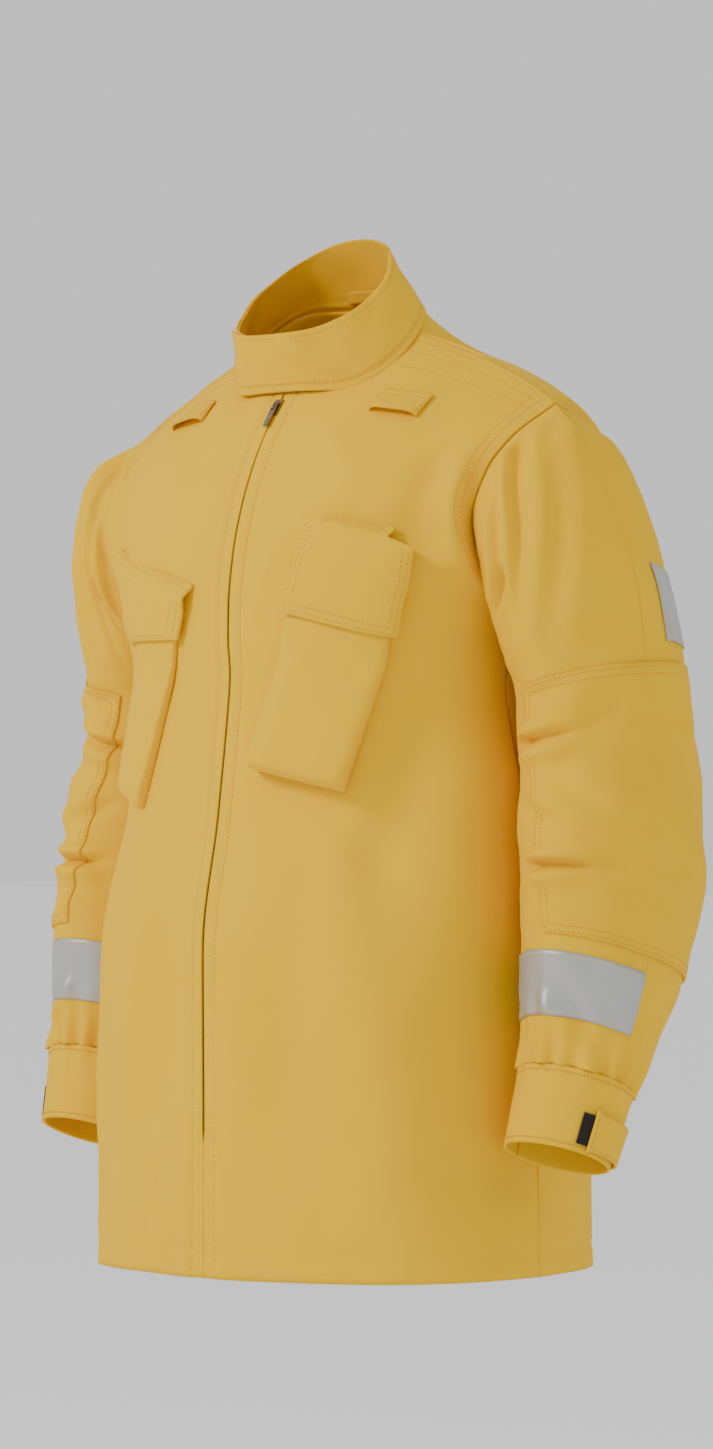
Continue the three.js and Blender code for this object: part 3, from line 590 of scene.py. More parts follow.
class Finish:
    """A material with one Principled shader."""

    def __init__(self, name, **constants):
        self.material = bpy.data.materials.new(name)
        self.material.use_nodes = True
        self.tree = self.material.node_tree
        self.shader = next(n for n in self.tree.nodes if n.type == "BSDF_PRINCIPLED")
        for socket, value in constants.items():
            self.shader.inputs[socket.replace("_", " ")].default_value = value

    def node(self, kind, settings=None, output=0, **inputs):
        node = self.tree.nodes.new(kind)
        for key, value in (settings or {}).items():
            setattr(node, key, value)
        for key, value in inputs.items():
            slot = node.inputs[key.replace("_", " ")]
            if isinstance(value, Sock):
                self.tree.links.new(value.socket, slot)
            else:
                slot.default_value = value
        return Sock(self.tree, node.outputs[output])

    def mix(self, factor, a, b):
        node = self.tree.nodes.new("ShaderNodeMix")
        node.data_type = "RGBA"
        sockets = [s for s in node.inputs if s.enabled]
        for slot, value in zip(sockets, (factor, a, b)):
            if isinstance(value, Sock):
                self.tree.links.new(value.socket, slot)
            else:
                slot.default_value = value
        return Sock(self.tree, next(s for s in node.outputs if s.enabled))

    def feed(self, socket, value):
        self.tree.links.new(value.socket, self.shader.inputs[socket])

    def bump(self, height, strength, distance):
        bump = self.node("ShaderNodeBump", Height=height, Strength=strength, Distance=distance)
        self.feed("Normal", bump)


# %% [markdown]
# The shell is a yellow flame-resistant twill. Its thread lines run on the slant. They are drawn
# nearly two millimetres apart, coarser than real ones, as a bump read from the cloth's flat measure in metres.

# %% Cloth finishes
def twill(name, light, dark, roughness, sheen, bump):
    finish = Finish(name, Roughness=roughness, Sheen_Weight=sheen, Sheen_Roughness=0.5,
                    Specular_IOR_Level=0.12)
    place = finish.node("ShaderNodeTexCoord", output=2)
    slow = finish.node("ShaderNodeTexNoise", Vector=place, Scale=9.0, Detail=3.0)
    fine = finish.node("ShaderNodeTexNoise", Vector=place, Scale=420.0, Detail=2.0)
    tone = slow * 0.75 + fine * 0.25
    finish.feed("Base Color", finish.mix(tone, dark, light))
    weave = finish.node("ShaderNodeTexWave", {"wave_type": "BANDS", "bands_direction": "DIAGONAL"},
                        output=1, Vector=place, Scale=340.0, Distortion=0.6, Detail=1.0)
    finish.bump(weave * 0.6 + fine * 0.4, bump, 0.0004)
    return finish.material


shell = twill("yellow twill", (0.90, 0.55, 0.0015, 1), (0.82, 0.46, 0.001, 1), 0.85, 0.01, 0.35)
lining = twill("lining twill", (0.84, 0.46, 0.004, 1), (0.74, 0.38, 0.002, 1), 0.9, 0.02, 0.3)
hook_cloth = twill("hook tape", (0.025, 0.018, 0.014, 1), (0.012, 0.009, 0.008, 1), 0.95, 0.3, 1.0)
zip_cloth = twill("zip tape", (0.06, 0.035, 0.02, 1), (0.04, 0.024, 0.014, 1), 0.9, 0.1, 0.5)

# %% [markdown]
# The tape is grey cloth covered in tiny glass beads. Lit from the side it is a dull silver with a fine
# grain, so it is half metallic, rough, and speckled.

# %% Tape, thread and metal
silver = Finish("reflective tape", Metallic=0.35, Roughness=0.42, Specular_IOR_Level=0.6)
_place = silver.node("ShaderNodeTexCoord", output=2)
_grain = silver.node("ShaderNodeTexNoise", Vector=_place, Scale=2600.0, Detail=2.0)
_cloudy = silver.node("ShaderNodeTexNoise", Vector=_place, Scale=22.0, Detail=3.0)
_tone = _grain * 0.5 + _cloudy * 0.5
silver.feed("Base Color", silver.mix(_tone, (0.33, 0.33, 0.315, 1), (0.55, 0.55, 0.53, 1)))
silver.bump(_grain, 0.25, 0.0003)
tape = silver.material

# The thread is a darker orange than the cloth. Part of that is the thread's own colour and part is painted
# shade, for the shadow along each row of stitches.
thread = Finish("thread", Roughness=0.7, Base_Color=(0.66, 0.30, 0.003, 1)).material
dark_thread = Finish("tape thread", Roughness=0.7, Base_Color=(0.72, 0.52, 0.10, 1)).material

brass = Finish("aged brass", Metallic=1.0, Roughness=0.38)
_place = brass.node("ShaderNodeTexCoord", output=3)
_worn = brass.node("ShaderNodeTexNoise", Vector=_place, Scale=260.0, Detail=3.0)
brass.feed("Base Color", brass.mix(_worn, (0.10, 0.075, 0.05, 1), (0.42, 0.34, 0.24, 1)))
metal = brass.material
print("finishes:", len(bpy.data.materials))

# %% [markdown]
# ## Stitches
# A row of stitches is what tells the eye that a line is a seam. Each is a small raised dash of thread.
# A bump line would blur when seen near, so they are real dashes, laid along a line of points on the cloth.

# %% Lay a row of stitches
STITCH, STITCH_STEP, THREAD_HALF = 2.7, 3.9, 0.38
stitch_store = {}


def stitch(points, normals, body="root", material=None):
    """Dashes along a line of points, in coat millimetres, each standing on the cloth."""
    points, normals = np.asarray(points, float), np.asarray(normals, float)
    run = np.concatenate([[0], np.cumsum(np.linalg.norm(np.diff(points, axis=0), axis=1))])
    starts = np.arange(1.0, run[-1] - STITCH, STITCH_STEP)
    if len(starts) == 0:
        return

    def read(values, s):
        return np.stack([np.interp(s, run, values[:, k]) for k in range(3)], axis=1)

    first, last, up = read(points, starts), read(points, starts + STITCH), read(normals, starts + STITCH / 2)
    up /= np.linalg.norm(up, axis=1)[:, None]
    along = last - first
    along /= np.linalg.norm(along, axis=1)[:, None]
    aside = np.cross(up, along) * THREAD_HALF
    middle = (first + last) / 2 + up * 0.42
    corners = [first - aside, first + aside, last + aside, last - aside]
    corners += [middle - aside * 0.8, middle + aside * 0.8]
    store = stitch_store.setdefault((body, (material or thread).name), [])
    store.append(np.stack(corners, axis=1))


def stitch_on(at, us, vs, depth, body="root", material=None, mirror=1, folds=None):
    """Stitches along a line given in a surface's own measure."""
    us, vs = np.broadcast_arrays(np.asarray(us, float), np.asarray(vs, float))
    fine = span(0, len(us) - 1, max(60, 40 * len(us)))
    us, vs = (np.interp(fine, np.arange(len(us)), values) for values in (us, vs))
    base = at(us, vs, np.zeros(len(us)))
    lift = np.full(len(us), float(depth))
    if folds is not None:
        lift = lift + folds(base, us, vs)
    top = at(us, vs, lift)
    up = at(us, vs, lift + 1) - top
    if mirror < 0:
        top[:, 0] *= -1
        up[:, 0] *= -1
    stitch(top, up, body, material)


def finish_stitches():
    """One mesh of thread for each body and colour."""
    made = 0
    for (body, colour), rows in stitch_store.items():
        corners = np.concatenate(rows)
        count = len(corners)
        vertices = to_frame(corners.reshape(-1, 3))
        pattern = np.array([(0, 1, 5, 4), (4, 5, 2, 3), (0, 4, 3, 3), (1, 2, 5, 5)])
        faces = []
        for i in range(count):
            for quad in pattern:
                face = []
                for k in quad:
                    if int(k) + 6 * i not in face:
                        face.append(int(k) + 6 * i)
                faces.append(face)
        mesh = bpy.data.meshes.new(f"stitches_{body}_{colour.replace(' ', '_')}")
        mesh.from_pydata(vertices.tolist(), [], faces)
        mesh.materials.append(bpy.data.materials[colour])
        made += count
        rows_of_thread = bpy.data.objects.new(mesh.name, mesh)
        bpy.context.scene.collection.objects.link(rows_of_thread)
        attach(rows_of_thread, body)
    print("stitches:", made)


# %% [markdown]
# ## Fronts
# Each front is one panel from the zip to the side seam and up to the shoulder. The wearer's left front
# carries the drape that falls from the shoulder in front of the armhole, which is the coat's deepest fold.

# %% Body panels
EDGE = 0.0032
_u_fine = span(0, 1, 400)


def u_of_x(x, v):
    """How far along each row a distance from the middle lies."""
    found = []
    for row in np.atleast_1d(v):
        line = front_surface(_u_fine, np.full(len(_u_fine), row))
        found.append(np.interp(x, line[:, 0], _u_fine))
    return np.array(found)


def v_of_z(z, surface=front_surface, u=0.3, top=FRONT_TOP):
    v = span(0, top, 600)
    return np.interp(z, surface(np.full(600, u), v)[:, 2], v)


def fine_us(count):
    """Steps across a front, closer together at the zip."""
    near = span(EDGE, 0.09, 28)
    return np.concatenate([near, span(0.09, 1, count)[1:]])


def facing_at(a, v, depth):
    """The facing lies beside the zip's tape, and comes in to the middle below the zip's end."""
    start = lerp(0.0, 0.05, smooth(v, 0.98, 1.03))
    return front_at(lerp(start, 0.115, np.asarray(a, float)), v, depth)


def front_panel_at(u, v, depth):
    """The front's edges stand a little apart along the zip and meet below its end."""
    closed = EDGE * (1 - smooth(v, 0.9, 1.02)) * (1 - np.asarray(u, float))
    return front_at(np.maximum(np.asarray(u, float) - closed, 0.0003), v, depth)


front_vs = span(0.0, FRONT_TOP, 230)
for side, hand in ((1, "left"), (-1, "right")):
    def folds(points, u, v, side=side):
        return front_folds(points, side)

    cloth(f"{hand}_front_cloth", front_panel_at, fine_us(105), front_vs, folds, CLOTH, shell,
          stands_for=[f"{hand}_front"], mirror=side)

    def under(points, u, v, side=side):
        return front_folds(points, side) - FACING_BEHIND

    cloth(f"{hand}_facing_cloth", facing_at, span(0, 1, 14), span(0.05, FRONT_TOP - 0.5, 110), under,
          LINING_CLOTH, lining, stands_for=[f"{hand}_front_facing"], mirror=side)


# %% [markdown]
# ## Back and yoke
# The back has a deep pleat beside each armhole, so that the arms can reach forward. It shows as a step in
# the cloth behind the shoulder: the middle of the back lies over the part that carries the sleeve.

# %% Back, yoke lining and the band across
def back_full(u, v, depth):
    u = np.asarray(u, float)
    points = back_at(np.abs(u), v, depth)
    points[:, 0] *= np.where(u < 0, -1, 1)
    return points


def back_folds(points, u, v):
    x, z = points[:, 0] * np.sign(u), points[:, 2]
    x = np.where(u < 0, -np.abs(x), np.abs(x))
    total = 1.5 * ripple(x, z, 170, 11) + 3 * np.sin(x / 40) * (1 - smooth(z, 0, 300))
    for start, end, width, height in (
        ((150, 620), (120, 420), 20, 3), ((-150, 640), (-110, 430), 20, 3), ((60, 380), (80, 60), 26, 4),
        ((-70, 400), (-60, 40), 26, 4), ((0, 330), (4, 20), 24, -4), ((130, 330), (140, 20), 24, -4),
        ((-140, 330), (-150, 20), 24, 4),
    ):
        total = total + ridge(x, z, start, end, width, height)
    over = (1 - smooth(np.abs(u), 0.845, 0.865)) * smooth(z, 430, 560)
    over = over * (1 - smooth(v, BACK_TOP - 1.3, BACK_TOP - 0.5))
    calm = 1 - smooth(np.abs(u), 0.9, 0.99)
    seam = -1.3 * np.exp(-(((z - 20) / 3) ** 2))
    return total * calm + 4.5 * over + seam


back_us = np.concatenate([span(-1, -0.8, 50)[:-1], span(-0.8, 0.8, 120), span(0.8, 1, 50)[1:]])
cloth("back_cloth", back_full, back_us, span(0, BACK_TOP, 230), back_folds, CLOTH, shell,
      stands_for=["back_panel"])


def yoke_under(points, u, v):
    return back_folds(points, u, v) - YOKE_BEHIND


cloth("yoke_cloth", back_full, span(-0.8, 0.8, 60), span(8.5, BACK_TOP - 0.6, 40), yoke_under,
      LINING_CLOTH, lining, stands_for=["yoke_lining"])

band_low = v_of_z(UNDERARM - 23, back_surface, 0.3, BACK_TOP)
band_high = v_of_z(UNDERARM + 28, back_surface, 0.3, BACK_TOP)


def band_over(points, u, v):
    return back_folds(points, u, v) + TAPE_LIFT


cloth("back_band_tape", back_full, span(-0.68, 0.68, 110), span(band_low, band_high, 14), band_over,
      0.8, tape, stands_for=["back_band"])


# %% [markdown]
# ## Sleeves
# Along the front of the upper arm the cloth hangs from the shoulder in long slanting folds. At the bend of
# the arm two darts are sewn, and creases start from each. Above the cuff the sleeve is gathered.

# %% Sleeve folds
ANGLE_MM = 1.35
SLEEVE_FOLDS = [
    ((8, 690), (-78, 548), 9, 5.5), ((-14, 668), (-88, 530), 7, -4.5), ((32, 670), (-46, 520), 11, 4.5),
    ((22, 690), (-52, 556), 7, -3.5), ((52, 640), (-16, 500), 13, 3.5), ((-46, 640), (-96, 560), 8, 4),
    ((-60, 590), (-96, 570), 6, -5), ((-92, 452), (-8, 457), 9, 4), ((-92, 442), (-10, 454), 4.5, -6.5),
    ((-88, 428), (-14, 440), 9, 4.5), ((-10, 455), (38, 478), 12, -3), ((-20, 420), (30, 380), 14, 3),
    ((-60, 500), (10, 470), 10, 3), ((-70, 480), (0, 490), 9, -2.5), ((-80, 335), (2, 338), 8, 4),
    ((-80, 326), (2, 330), 4.5, -6.5), ((-80, 313), (0, 320), 9, 4.5), ((2, 330), (40, 345), 12, -3),
    ((-60, 395), (20, 360), 12, 3.5), ((-90, 390), (-30, 365), 9, -3), ((-70, 290), (10, 268), 10, 2.5),
    ((-60, 215), (-10, 180), 9, 3), ((-40, 230), (30, 175), 10, -2.5), ((60, 560), (110, 420), 16, 3),
    ((130, 600), (150, 450), 18, -3), ((90, 380), (140, 300), 16, 3),
]
CUFF_SEAM_Z = 165.0


def sleeve_folds(angle, w):
    z = sleeve_height(w)
    x = (angle - 310) * ANGLE_MM
    total = 1.1 * ripple(x, z, 90, 21) + 0.5 * ripple(x, z, 34, 22)
    for start, end, width, height in SLEEVE_FOLDS:
        total = total + ridge(x, z, start, end, width, height)
    gathers = np.sin(np.radians(angle) * 15 + 0.8 * np.sin(np.radians(angle) * 4))
    total = total + 2.3 * gathers * np.exp(-np.maximum(z - CUFF_SEAM_Z, 0) / 24)
    hold = smooth(w, 0, 0.45)
    return 1.7 * total * hold - 1.6 * np.exp(-w / 0.04)


def on_sleeve(lift):
    return lambda points, angle, w: sleeve_folds(angle, w) + lift


def line_of(side, at, us, vs, depth, folds=None, material=None, body="root"):
    stitch_on(at, us, vs, depth, body, material, side, folds)


sleeve_ws = np.concatenate([span(0, 1, 46)[:-1], span(1, CUFF_ROW, 250)])
for side, hand in ((1, "left"), (-1, "right")):
    cloth(f"{hand}_sleeve_front_cloth", sleeve_at, span(181, SEAM_ANGLE, 100), sleeve_ws, on_sleeve(0), CLOTH,
          shell, stands_for=[f"{hand}_sleeve_front"], mirror=side)
    cloth(f"{hand}_sleeve_rear_cloth", sleeve_at, span(SEAM_ANGLE - 1, 539, 100), sleeve_ws,
          on_sleeve(-0.3), CLOTH, shell, stands_for=[f"{hand}_sleeve_rear"], mirror=side)

# %% [markdown]
# A second layer of cloth covers the back of the elbow, and tape is sewn round the arm on top. Each is cut
# to lie on the folds beneath it, so it takes the sleeve's own folds and is lifted by its thickness.

# %% Elbow patches and tape
PATCH_LOW, PATCH_HIGH = 266.0, 492.0


def patch_at(a, b, depth):
    a, b = np.asarray(a, float), np.asarray(b, float)
    front_edge = np.interp(b, [0, 0.25, 0.55, 0.8, 1], [273, 266, 263, 257, 251])
    angle = lerp(front_edge, 468, a)
    z = lerp(PATCH_LOW, PATCH_HIGH + 4 * np.sin(np.pi * a), b)
    w = sleeve_row_at(z)
    return sleeve_at(angle, w, np.asarray(depth, float) + sleeve_folds(angle, w) + 0.2)


def band_at(z_middle, width):
    def at(angle, share, depth):
        w = sleeve_row_at(z_middle + (np.asarray(share, float) - 0.5) * width)
        return sleeve_at(angle, w, np.asarray(depth, float) + sleeve_folds(np.asarray(angle), w))

    return at


lower_band = band_at(226, 50.8)
upper_band = band_at(528, 42)
for side, hand in ((1, "left"), (-1, "right")):
    cloth(f"{hand}_elbow_cloth", patch_at, span(0, 1, 110), span(0, 1, 110), 1.6, 1.4, shell,
          stands_for=[f"{hand}_elbow_patch"], mirror=side)
    for inset in (0.012, 0.034):
        us = np.array([inset, inset, 1 - inset, 1 - inset, inset])
        vs = np.array([inset, 1 - inset, 1 - inset, inset, inset])
        line_of(side, patch_at, us, vs, 1.6)
    cloth(f"{hand}_lower_band_tape", lower_band, span(183, 351, 90), span(0, 1, 16), TAPE_LIFT,
          TAPE_CLOTH, tape,
          stands_for=[f"{hand}_lower_sleeve_band"], mirror=side)
    cloth(f"{hand}_upper_band_tape", upper_band, span(366, 486, 60), span(0, 1, 14), TAPE_LIFT,
          TAPE_CLOTH, tape,
          stands_for=[f"{hand}_upper_sleeve_band"], mirror=side)
    for share in (0.06, 0.94):
        line_of(side, lower_band, [184, 350], [share, share], 1.3, None, dark_thread)
        line_of(side, upper_band, [367, 485], [share, share], 1.3, None, dark_thread)
    for angle in (368, 372):
        line_of(side, upper_band, [angle, angle], [0.04, 0.96], 1.3, None, dark_thread)


# %% [markdown]
# ## Cuffs
# The cuff is a plain doubled band. A tab on its outside closes it by hook tape. The tab is a part that
# moves, so it is its own body and follows the joint.

# %% Cuffs, hook pads and tabs
def cuff_folds(points, angle, w):
    gathers = np.sin(np.radians(angle) * 15 + 0.8 * np.sin(np.radians(angle) * 4))
    return 0.5 + 1.6 * gathers * np.exp(-w / 0.16) + 0.5 * ripple(angle, w * 62, 50, 31)


def tab_at(a, b, depth):
    angle = lerp(338, 416, np.asarray(a, float))
    tip = 1 - 0.12 * np.abs(2 * np.asarray(b, float) - 1) ** 6 * smooth(a, 0.0, 0.1)
    w = 0.7 + (np.asarray(b, float) - 0.5) * 34 / 62 * tip
    lift = lerp(3.2, 1.6, smooth(a, 0.7, 1))
    return cuff_at(angle, w, np.asarray(depth, float) + lift)


for side, hand in ((1, "left"), (-1, "right")):
    cloth(f"{hand}_cuff_cloth", cuff_at, span(181, 539, 150), span(0, 1, 36), cuff_folds, 2.0, shell,
          stands_for=[f"{hand}_cuff"], mirror=side)
    for w in (0.07, 0.93):
        line_of(side, cuff_at, [183, 537], [w, w], 0.5, cuff_folds)
    cloth(f"{hand}_hook_tape", cuff_at, span(326, 382, 24), span(0.5, 0.9, 10), 2.3, 1.0, hook_cloth,
          stands_for=[f"{hand}_cuff_hook_pad"], mirror=side)
    cloth(f"{hand}_tab_cloth", tab_at, span(0, 1, 40), span(0, 1, 16), 2.0, 2.0, shell,
          stands_for=[f"{hand}_cuff_tab"], body=f"{hand}_cuff_tab", mirror=side)
    edge_a = np.array([0.04, 0.96, 0.96, 0.04, 0.04])
    edge_b = np.array([0.09, 0.09, 0.91, 0.91, 0.09])
    line_of(side, tab_at, edge_a, edge_b, 2.0, body=f"{hand}_cuff_tab")
    line_of(side, tab_at, [0.72, 0.72], [0.1, 0.9], 2.0, body=f"{hand}_cuff_tab")


# %% [markdown]
# ## Collar
# The collar stands and laps over itself at the front. It is two layers, turned and topstitched round the
# edge. It is soft, so slanting folds run across it.

# %% Collar and hanging loop
LAP_END = 406.0


def collar_at(angle, share, depth):
    """Degrees from the centre front by the wearer's right and the back, and on past the front again."""
    angle, share = np.asarray(angle, float), np.asarray(share, float)
    turn = np.radians(angle)
    base = neck_point(angle)
    base[:, 2] += 2.4
    rear = ((1 - np.cos(turn)) / 2) ** 1.25
    rise = BODY_LENGTH + 47 + (79 - 47 + 59) * rear
    top = np.stack([68 * np.sin(turn), -45 - 60 * np.cos(turn), rise], axis=1)
    here = base + (top - base) * share[:, None]
    out = np.stack([np.sin(turn) / 68, -np.cos(turn) / 60, np.zeros(len(turn))], axis=1)
    out /= np.linalg.norm(out, axis=1)[:, None]
    lift = 5 * smooth(angle, 318, 350)
    here = here + out * (lift + np.asarray(depth, float))[:, None]
    return here * np.array([-1.0, 1, 1])


COLLAR_FOLDS = [
    ((20, 10), (60, 55), 8, 3), ((55, 0), (95, 50), 9, -2.5), ((90, 5), (130, 50), 10, 2.5),
    ((395, 5), (440, 50), 8, 2.5),
]


def collar_folds(points, angle, share):
    x, y = angle * 1.25, share * 55
    total = 1.8 * ripple(x, y, 50, 41)
    for start, end, width, height in COLLAR_FOLDS:
        total = total + ridge(x, y, start, end, width, height)
    held = smooth(share, 0.02, 0.3)
    tuck = -1.0 * np.exp(-(((share - 0.05) / 0.03) ** 2))
    return total * held + tuck + 1.4


def collar_inner(points, angle, share):
    return collar_folds(points, angle, share) - 1.9


collar_angles = span(-5, LAP_END, 260)
cloth("collar_cloth", collar_at, collar_angles, span(-0.05, 1, 40), collar_folds, 1.4, shell,
      stands_for=["collar_shell"])
cloth("collar_lining_cloth", collar_at, collar_angles, span(0.0, 0.985, 40), collar_inner, 1.2, lining,
      stands_for=["collar_lining"])
stitch_on(collar_at, [-3, LAP_END - 3.5, LAP_END - 3.5], [0.91, 0.91, 0.08], 0, folds=collar_folds)
stitch_on(collar_at, [-3, LAP_END - 2], [0.1, 0.1], 0, folds=collar_folds)


def loop_at(a, b, depth):
    s = 2 * np.asarray(a, float) - 1
    bow = 10 * (1 - s**4)
    share = 0.04 + 0.18 * np.asarray(b, float)
    return collar_at(180 + s * 18, share, -4.2 - bow + np.asarray(depth, float))


cloth("hanging_loop_cloth", loop_at, span(0, 1, 40), span(0, 1, 6), 0, 1.6, lining,
      stands_for=["hanger_loop"])

# %% [markdown]
# ## Zip
# The two rows of teeth lie between the edges of the fronts, on tapes sewn behind. The teeth are small
# metal blocks, set alternately. The slider and its pull are the frame's own parts with an aged finish.

# %% Zip
TOOTH_PITCH = 2.6


def zip_line(zs):
    """The centre front at each height, and the direction out of it."""
    v = v_of_z(zs, u=0.005)
    u = np.full(len(v), 0.02)
    base = front_at(u, v, np.zeros(len(v)))
    out = front_at(u, v, np.ones(len(v))) - base
    base[:, 0] = 0
    out[:, 0] = 0
    return base, out / np.linalg.norm(out, axis=1)[:, None]


def make_teeth(hand, side):
    zs = np.arange(60 if side > 0 else 61.3, 736, TOOTH_PITCH)
    base, out = zip_line(zs)
    up = np.cross(out, np.array([1.0, 0, 0]))
    up *= np.sign(up[:, 2])[:, None]
    vertices, faces = [], []
    for i in range(len(zs)):
        start = len(vertices)
        for dx in (0.2, 3.0):
            for dz in (-0.8, 0.8):
                for depth in (-4.2, -1.4):
                    squeeze = 0.7 if dx < 1 else 1.0
                    p = base[i] + up[i] * dz * squeeze + out[i] * depth
                    vertices.append((p[0] + dx * side, p[1], p[2]))
        for quad in ((0, 1, 3, 2), (4, 6, 7, 5), (0, 4, 5, 1), (2, 3, 7, 6), (0, 2, 6, 4), (1, 5, 7, 3)):
            faces.append([start + k for k in quad])
    mesh = bpy.data.meshes.new(f"{hand}_teeth")
    mesh.from_pydata(to_frame(vertices).tolist(), [], faces)
    face_out(mesh)
    mesh.materials.append(metal)
    teeth = bpy.data.objects.new(f"{hand}_teeth", mesh)
    bpy.context.scene.collection.objects.link(teeth)
    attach(teeth, "root")
    stands_for = [f"{hand}_zip_teeth"] + (["zip_bottom_stop"] if side > 0 else [])
    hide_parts(*stands_for)
    print(f"{hand}_teeth: {len(zs)} teeth")


def zip_tape_at(a, v, depth):
    """The tape lies behind the front, from the teeth outwards."""
    points = front_at(np.full(len(v), 0.02), v, np.asarray(depth, float))
    points[:, 0] = lerp(1.6, 16.5, np.asarray(a, float))
    return points


for side, hand in ((1, "left"), (-1, "right")):
    make_teeth(hand, side)

    def behind(points, u, v, side=side):
        return front_folds(points, side) - ZIP_BEHIND

    cloth(f"{hand}_zip_cloth", zip_tape_at, span(0, 1, 6), span(1.0, FRONT_TOP - 0.1, 120), behind, 0.8,
          zip_cloth, stands_for=[f"{hand}_zip_tape"], mirror=side)
for name in ("zip_slider", "zip_pull"):
    node = bpy.data.objects[name]
    for held in node.material_slots:
        held.link = "OBJECT"
        held.material = metal

# %% [markdown]
# ## Pockets
# A pocket on the chest is a bag sewn on the cloth: a face, and a gusset round its sides and bottom. The
# radio pocket is deep and boxy. The bellows pocket is shallow and wide, with a pleat down its middle.

# %% Pocket bags
RADIO = dict(around=102, z=512, turn=-13, half_width=42, half_length=104, top=14, bottom=27)
BELLOWS = dict(around=-144, z=495, turn=-15, half_width=72, half_length=90, top=6, bottom=13)


def pocket_depth(pocket, t):
    return lerp(pocket["bottom"], pocket["top"], smooth(t, -pocket["half_length"], pocket["half_length"]))


def pocket_bag(name, pocket, stands_for, round_by, pleat):
    """A bag as hoops from the bottom to the mouth, each hoop a rounded box section."""
    phis = span(0, math.pi, 90)
    ts = np.concatenate([pocket["half_length"] * (span(-1, -0.86, 18)[:-1]),
                         span(-0.86, 1, 60) * pocket["half_length"]])
    phi, t = (grid.ravel() for grid in np.meshgrid(phis, ts))
    below = np.clip((-t - pocket["half_length"] + round_by) / round_by, 0, 1)
    close = (1 - below**3) ** (1 / 3)
    power = 2 / 7

    def hoop(inset):
        s = (pocket["half_width"] - inset) * np.sign(np.cos(phi)) * np.abs(np.cos(phi)) ** power
        face = (pocket_depth(pocket, t) - inset) * np.abs(np.sin(phi)) ** power * close
        swell = 1.6 * ripple(s, t, 80, 51) + 0.8 * ripple(s, t, 30, 52)
        line = -3.5 * np.exp(-((s / 3.0) ** 2)) * pleat
        near = np.abs(np.sin(phi)) ** power * close
        return on_chest(pocket, s, t + inset * (below > 0), 0.6 + face + (swell + line) * near)

    outer, inner = hoop(0.0), hoop(1.6)
    mesh = closed_mesh(name, to_frame(outer), to_frame(inner), len(ts), len(phis))
    face_out(mesh)
    mesh.materials.append(shell)
    bag = bpy.data.objects.new(name, mesh)
    bpy.context.scene.collection.objects.link(bag)
    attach(bag, "root")
    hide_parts(stands_for)
    area, width, length = grid_area(to_frame(outer).reshape(len(ts), len(phis), 3))
    print(f"{name}: cut {width:.3f} x {length:.3f} m")


pocket_bag("radio_pocket_cloth", RADIO, "radio_pocket", 16, 0)
pocket_bag("bellows_pocket_cloth", BELLOWS, "bellows_pocket", 12, 1)


# %% [markdown]
# ## Flaps
# A flap is sewn above the mouth and bends over the pocket. On the real coat the cloth itself is the hinge.
# Here the flap's cloth is fixed in place with the coat, and only the rows of stitches round its edge go with
# the flap's body.

# %% Flaps
def flap(name, pocket, shape, stands_for, body):
    """A flap over a pocket. shape gives the half width and the reach at each place."""
    edge = pocket["half_length"] + 2

    def at(a, b, depth):
        a, b = np.asarray(a, float), np.asarray(b, float)
        across = 2 * a - 1
        low = pocket["half_length"] - shape["below"] - shape["tip"] * (1 - np.abs(across))
        high = pocket["half_length"] + shape["above"]
        t = np.where(b <= 0.7, lerp(low, edge, b / 0.7), lerp(edge, high, (b - 0.7) / 0.3))
        wide = lerp(shape["half_width"], shape["neck"], smooth(t, edge - 3, edge + 1))
        hang = 2.6 + pocket_depth(pocket, t)
        rest = lerp(hang, 1.2, smooth(t, edge, pocket["half_length"] + shape["above"] - 2))
        bend = -3.5 * np.abs(across) ** 8 * smooth(edge - t, 0, 12)
        sway = 1.2 * ripple(across * wide, t, 70, 61) * smooth(edge - t, 0, 20)
        return on_chest(pocket, across * wide, t, np.asarray(depth, float) + rest + bend + sway)

    bs = np.concatenate([span(0, 0.64, 40)[:-1], span(0.64, 0.78, 22), span(0.78, 1, 14)[1:]])
    bend = [tuple(float(c) for c in to_frame(at([0.5], [b], 1.0))[0]) for b in (0.84, 0.7)]
    cloth(name, at, span(0, 1, 60), bs, 2.0, 2.0, shell, stands_for=[stands_for], body=body,
          bend=bend)
    for inset_a, inset_b in ((0.035, 0.03), (0.085, 0.075)):
        stitch_on(at, [inset_a, inset_a, 0.5, 1 - inset_a, 1 - inset_a],
                  [0.66, inset_b, inset_b, inset_b, 0.66], 2.0, body)
    for share in (0.9, 0.96):
        stitch_on(at, [0.04, 0.96], [share, share], 2.0, "root")


flap("radio_flap_cloth", RADIO, dict(neck=25, half_width=46, above=13, below=74, tip=0), "radio_pocket_flap",
     "radio_flap")
flap("bellows_flap_cloth", BELLOWS, dict(neck=78, half_width=78, above=16, below=32, tip=20),
     "bellows_pocket_flap", "bellows_flap")


# %% [markdown]
# ## Tabs for a microphone
# High on each side of the chest is a short tab, sewn along its top and its ends, and open below.

# %% Microphone tabs
def mic_at(side):
    place = dict(around=118 * side, z=727, turn=-8 * side)

    def at(a, b, depth):
        s, t = lerp(-23, 23, np.asarray(a, float)), lerp(-10, 10, np.asarray(b, float))
        swell = 5.5 * smooth(-t, -6, 10) * (1 - np.abs(s / 23) ** 6)
        return on_chest(place, s, t, 1.4 + swell + np.asarray(depth, float))

    return at


for side, hand in ((1, "left"), (-1, "right")):
    at = mic_at(side)
    cloth(f"{hand}_mic_cloth", at, span(0, 1, 40), span(0, 1, 20), 1.4, 1.4, shell,
          stands_for=[f"{hand}_mic_tab"])
    stitch_on(at, [0.04, 0.04, 0.96, 0.96], [0.08, 0.93, 0.93, 0.08], 1.4)
    stitch_on(at, [0.06, 0.94], [0.75, 0.75], 1.4)

# %% [markdown]
# ## Seams
# Last, the long seams: the hem, the zip's edge, the armholes, and three rows along each shoulder.

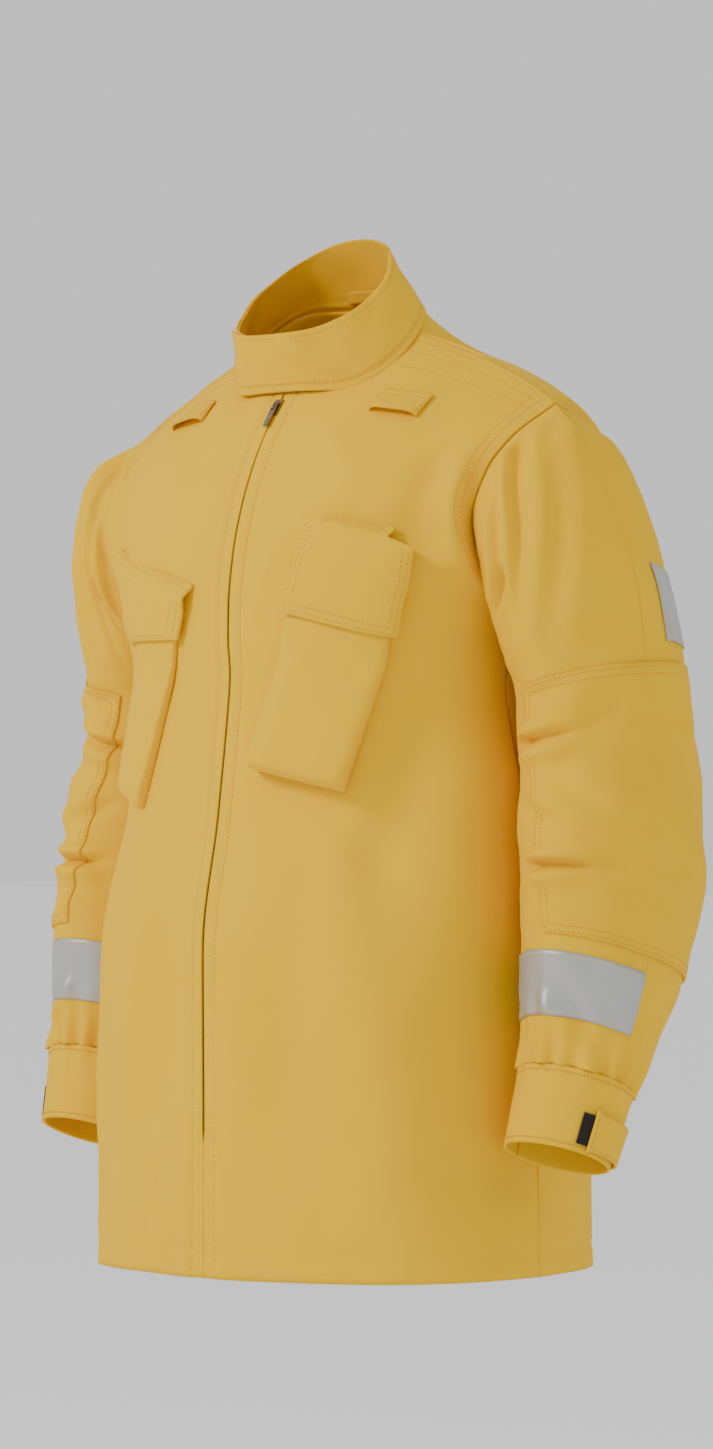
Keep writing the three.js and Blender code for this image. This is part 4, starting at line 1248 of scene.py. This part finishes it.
# %% Rows of stitches along the seams
for side, hand in ((1, "left"), (-1, "right")):
    def folds(points, u, v, side=side):
        return front_folds(points, side)

    v_all = span(0.05, FRONT_TOP - 0.1, 60)
    line_of(side, front_at, u_of_x(ZIP_ROW, v_all), v_all, 0, folds)
    hem = v_of_z(HEM_ROW)
    line_of(side, front_at, [0.03, 1], [hem, hem], 0, folds)
    for u in (0.925, 0.955):
        line_of(side, front_at, [u, u], [UNDERARM_ROW + 0.2, FRONT_TOP - 0.1], 0, folds)
    for down in (0.08, 0.19, 0.34):
        line_of(side, front_at, [0.44, 0.99], [FRONT_TOP - down, FRONT_TOP - down], 0, folds)
    line_of(side, back_full, [0.93 * side, 0.93 * side], [UNDERARM_ROW + 0.3, BACK_TOP - 0.3], 0, back_folds)
stitch_on(back_full, [-1, 1], [v_of_z(HEM_ROW, back_surface, 0.3, BACK_TOP)] * 2, 0, folds=back_folds)
finish_stitches()

# %% [markdown]
# ## Light, floor and camera
# The coat hangs in front of a plain pale ground under large soft lights. The brightest is high on the
# left and in front, so the wearer's right is lit and the other sleeve turns a little darker.

# %% Stage
scene = bpy.context.scene


def turned_to(place, aim):
    """The turn that makes a lamp or a camera at a place look at a point."""
    way = np.array(aim) - np.array(place)
    tilt = math.atan2(math.hypot(way[0], way[1]), -way[2])
    return tilt, 0, math.atan2(way[1], way[0]) - math.pi / 2


def area_light(name, place, aim, size, power, colour=(1, 1, 1)):
    data = bpy.data.lights.new(name, "AREA")
    data.shape, data.size, data.energy, data.color = "DISK", size, power, colour
    lamp = bpy.data.objects.new(name, data)
    lamp.location = place
    lamp.rotation_euler = turned_to(place, aim)
    scene.collection.objects.link(lamp)


TURN = math.radians(40)
aside, toward = np.array([math.cos(TURN), math.sin(TURN), 0]), np.array([math.sin(TURN), -math.cos(TURN), 0])
MIDDLE = np.array([0, 0, -0.38])
area_light("key", MIDDLE - aside * 2.5 + toward * 1.6 + [0, 0, 1.9], MIDDLE, 0.8, 62)
area_light("fill", MIDDLE + aside * 2.4 + toward * 2.0 + [0, 0, 0.7], MIDDLE, 2.6, 8)

world = bpy.data.worlds.new("studio")
world.use_nodes = True
world.node_tree.nodes["Background"].inputs[0].default_value = (1, 1, 1, 1)
world.node_tree.nodes["Background"].inputs[1].default_value = 0.8
scene.world = world

bpy.ops.mesh.primitive_plane_add(size=60, location=(0, 0, cad_box[0][2] - 0.35))
floor = bpy.context.object
floor.name = "floor"
ground = Finish("pale floor", Roughness=1.0, Base_Color=(0.95, 0.95, 0.95, 1), Emission_Color=(1, 1, 1, 1),
                Emission_Strength=0.12)
floor.data.materials.append(ground.material)

camera_data = bpy.data.cameras.new("camera")
camera_data.lens, camera_data.sensor_width, camera_data.sensor_fit = 130.4, 36, "AUTO"
camera = bpy.data.objects.new("camera", camera_data)
target = np.array([0.0055, -0.0364, -0.359])
spot = target + toward * 4.5
spot[2] = -0.425
camera.location = spot
camera.rotation_euler = turned_to(spot, target)
scene.collection.objects.link(camera)
scene.camera = camera

# %% Print the frame's size
print("frame size", [round(float(b - a), 3) for a, b in zip(*cad_box)])
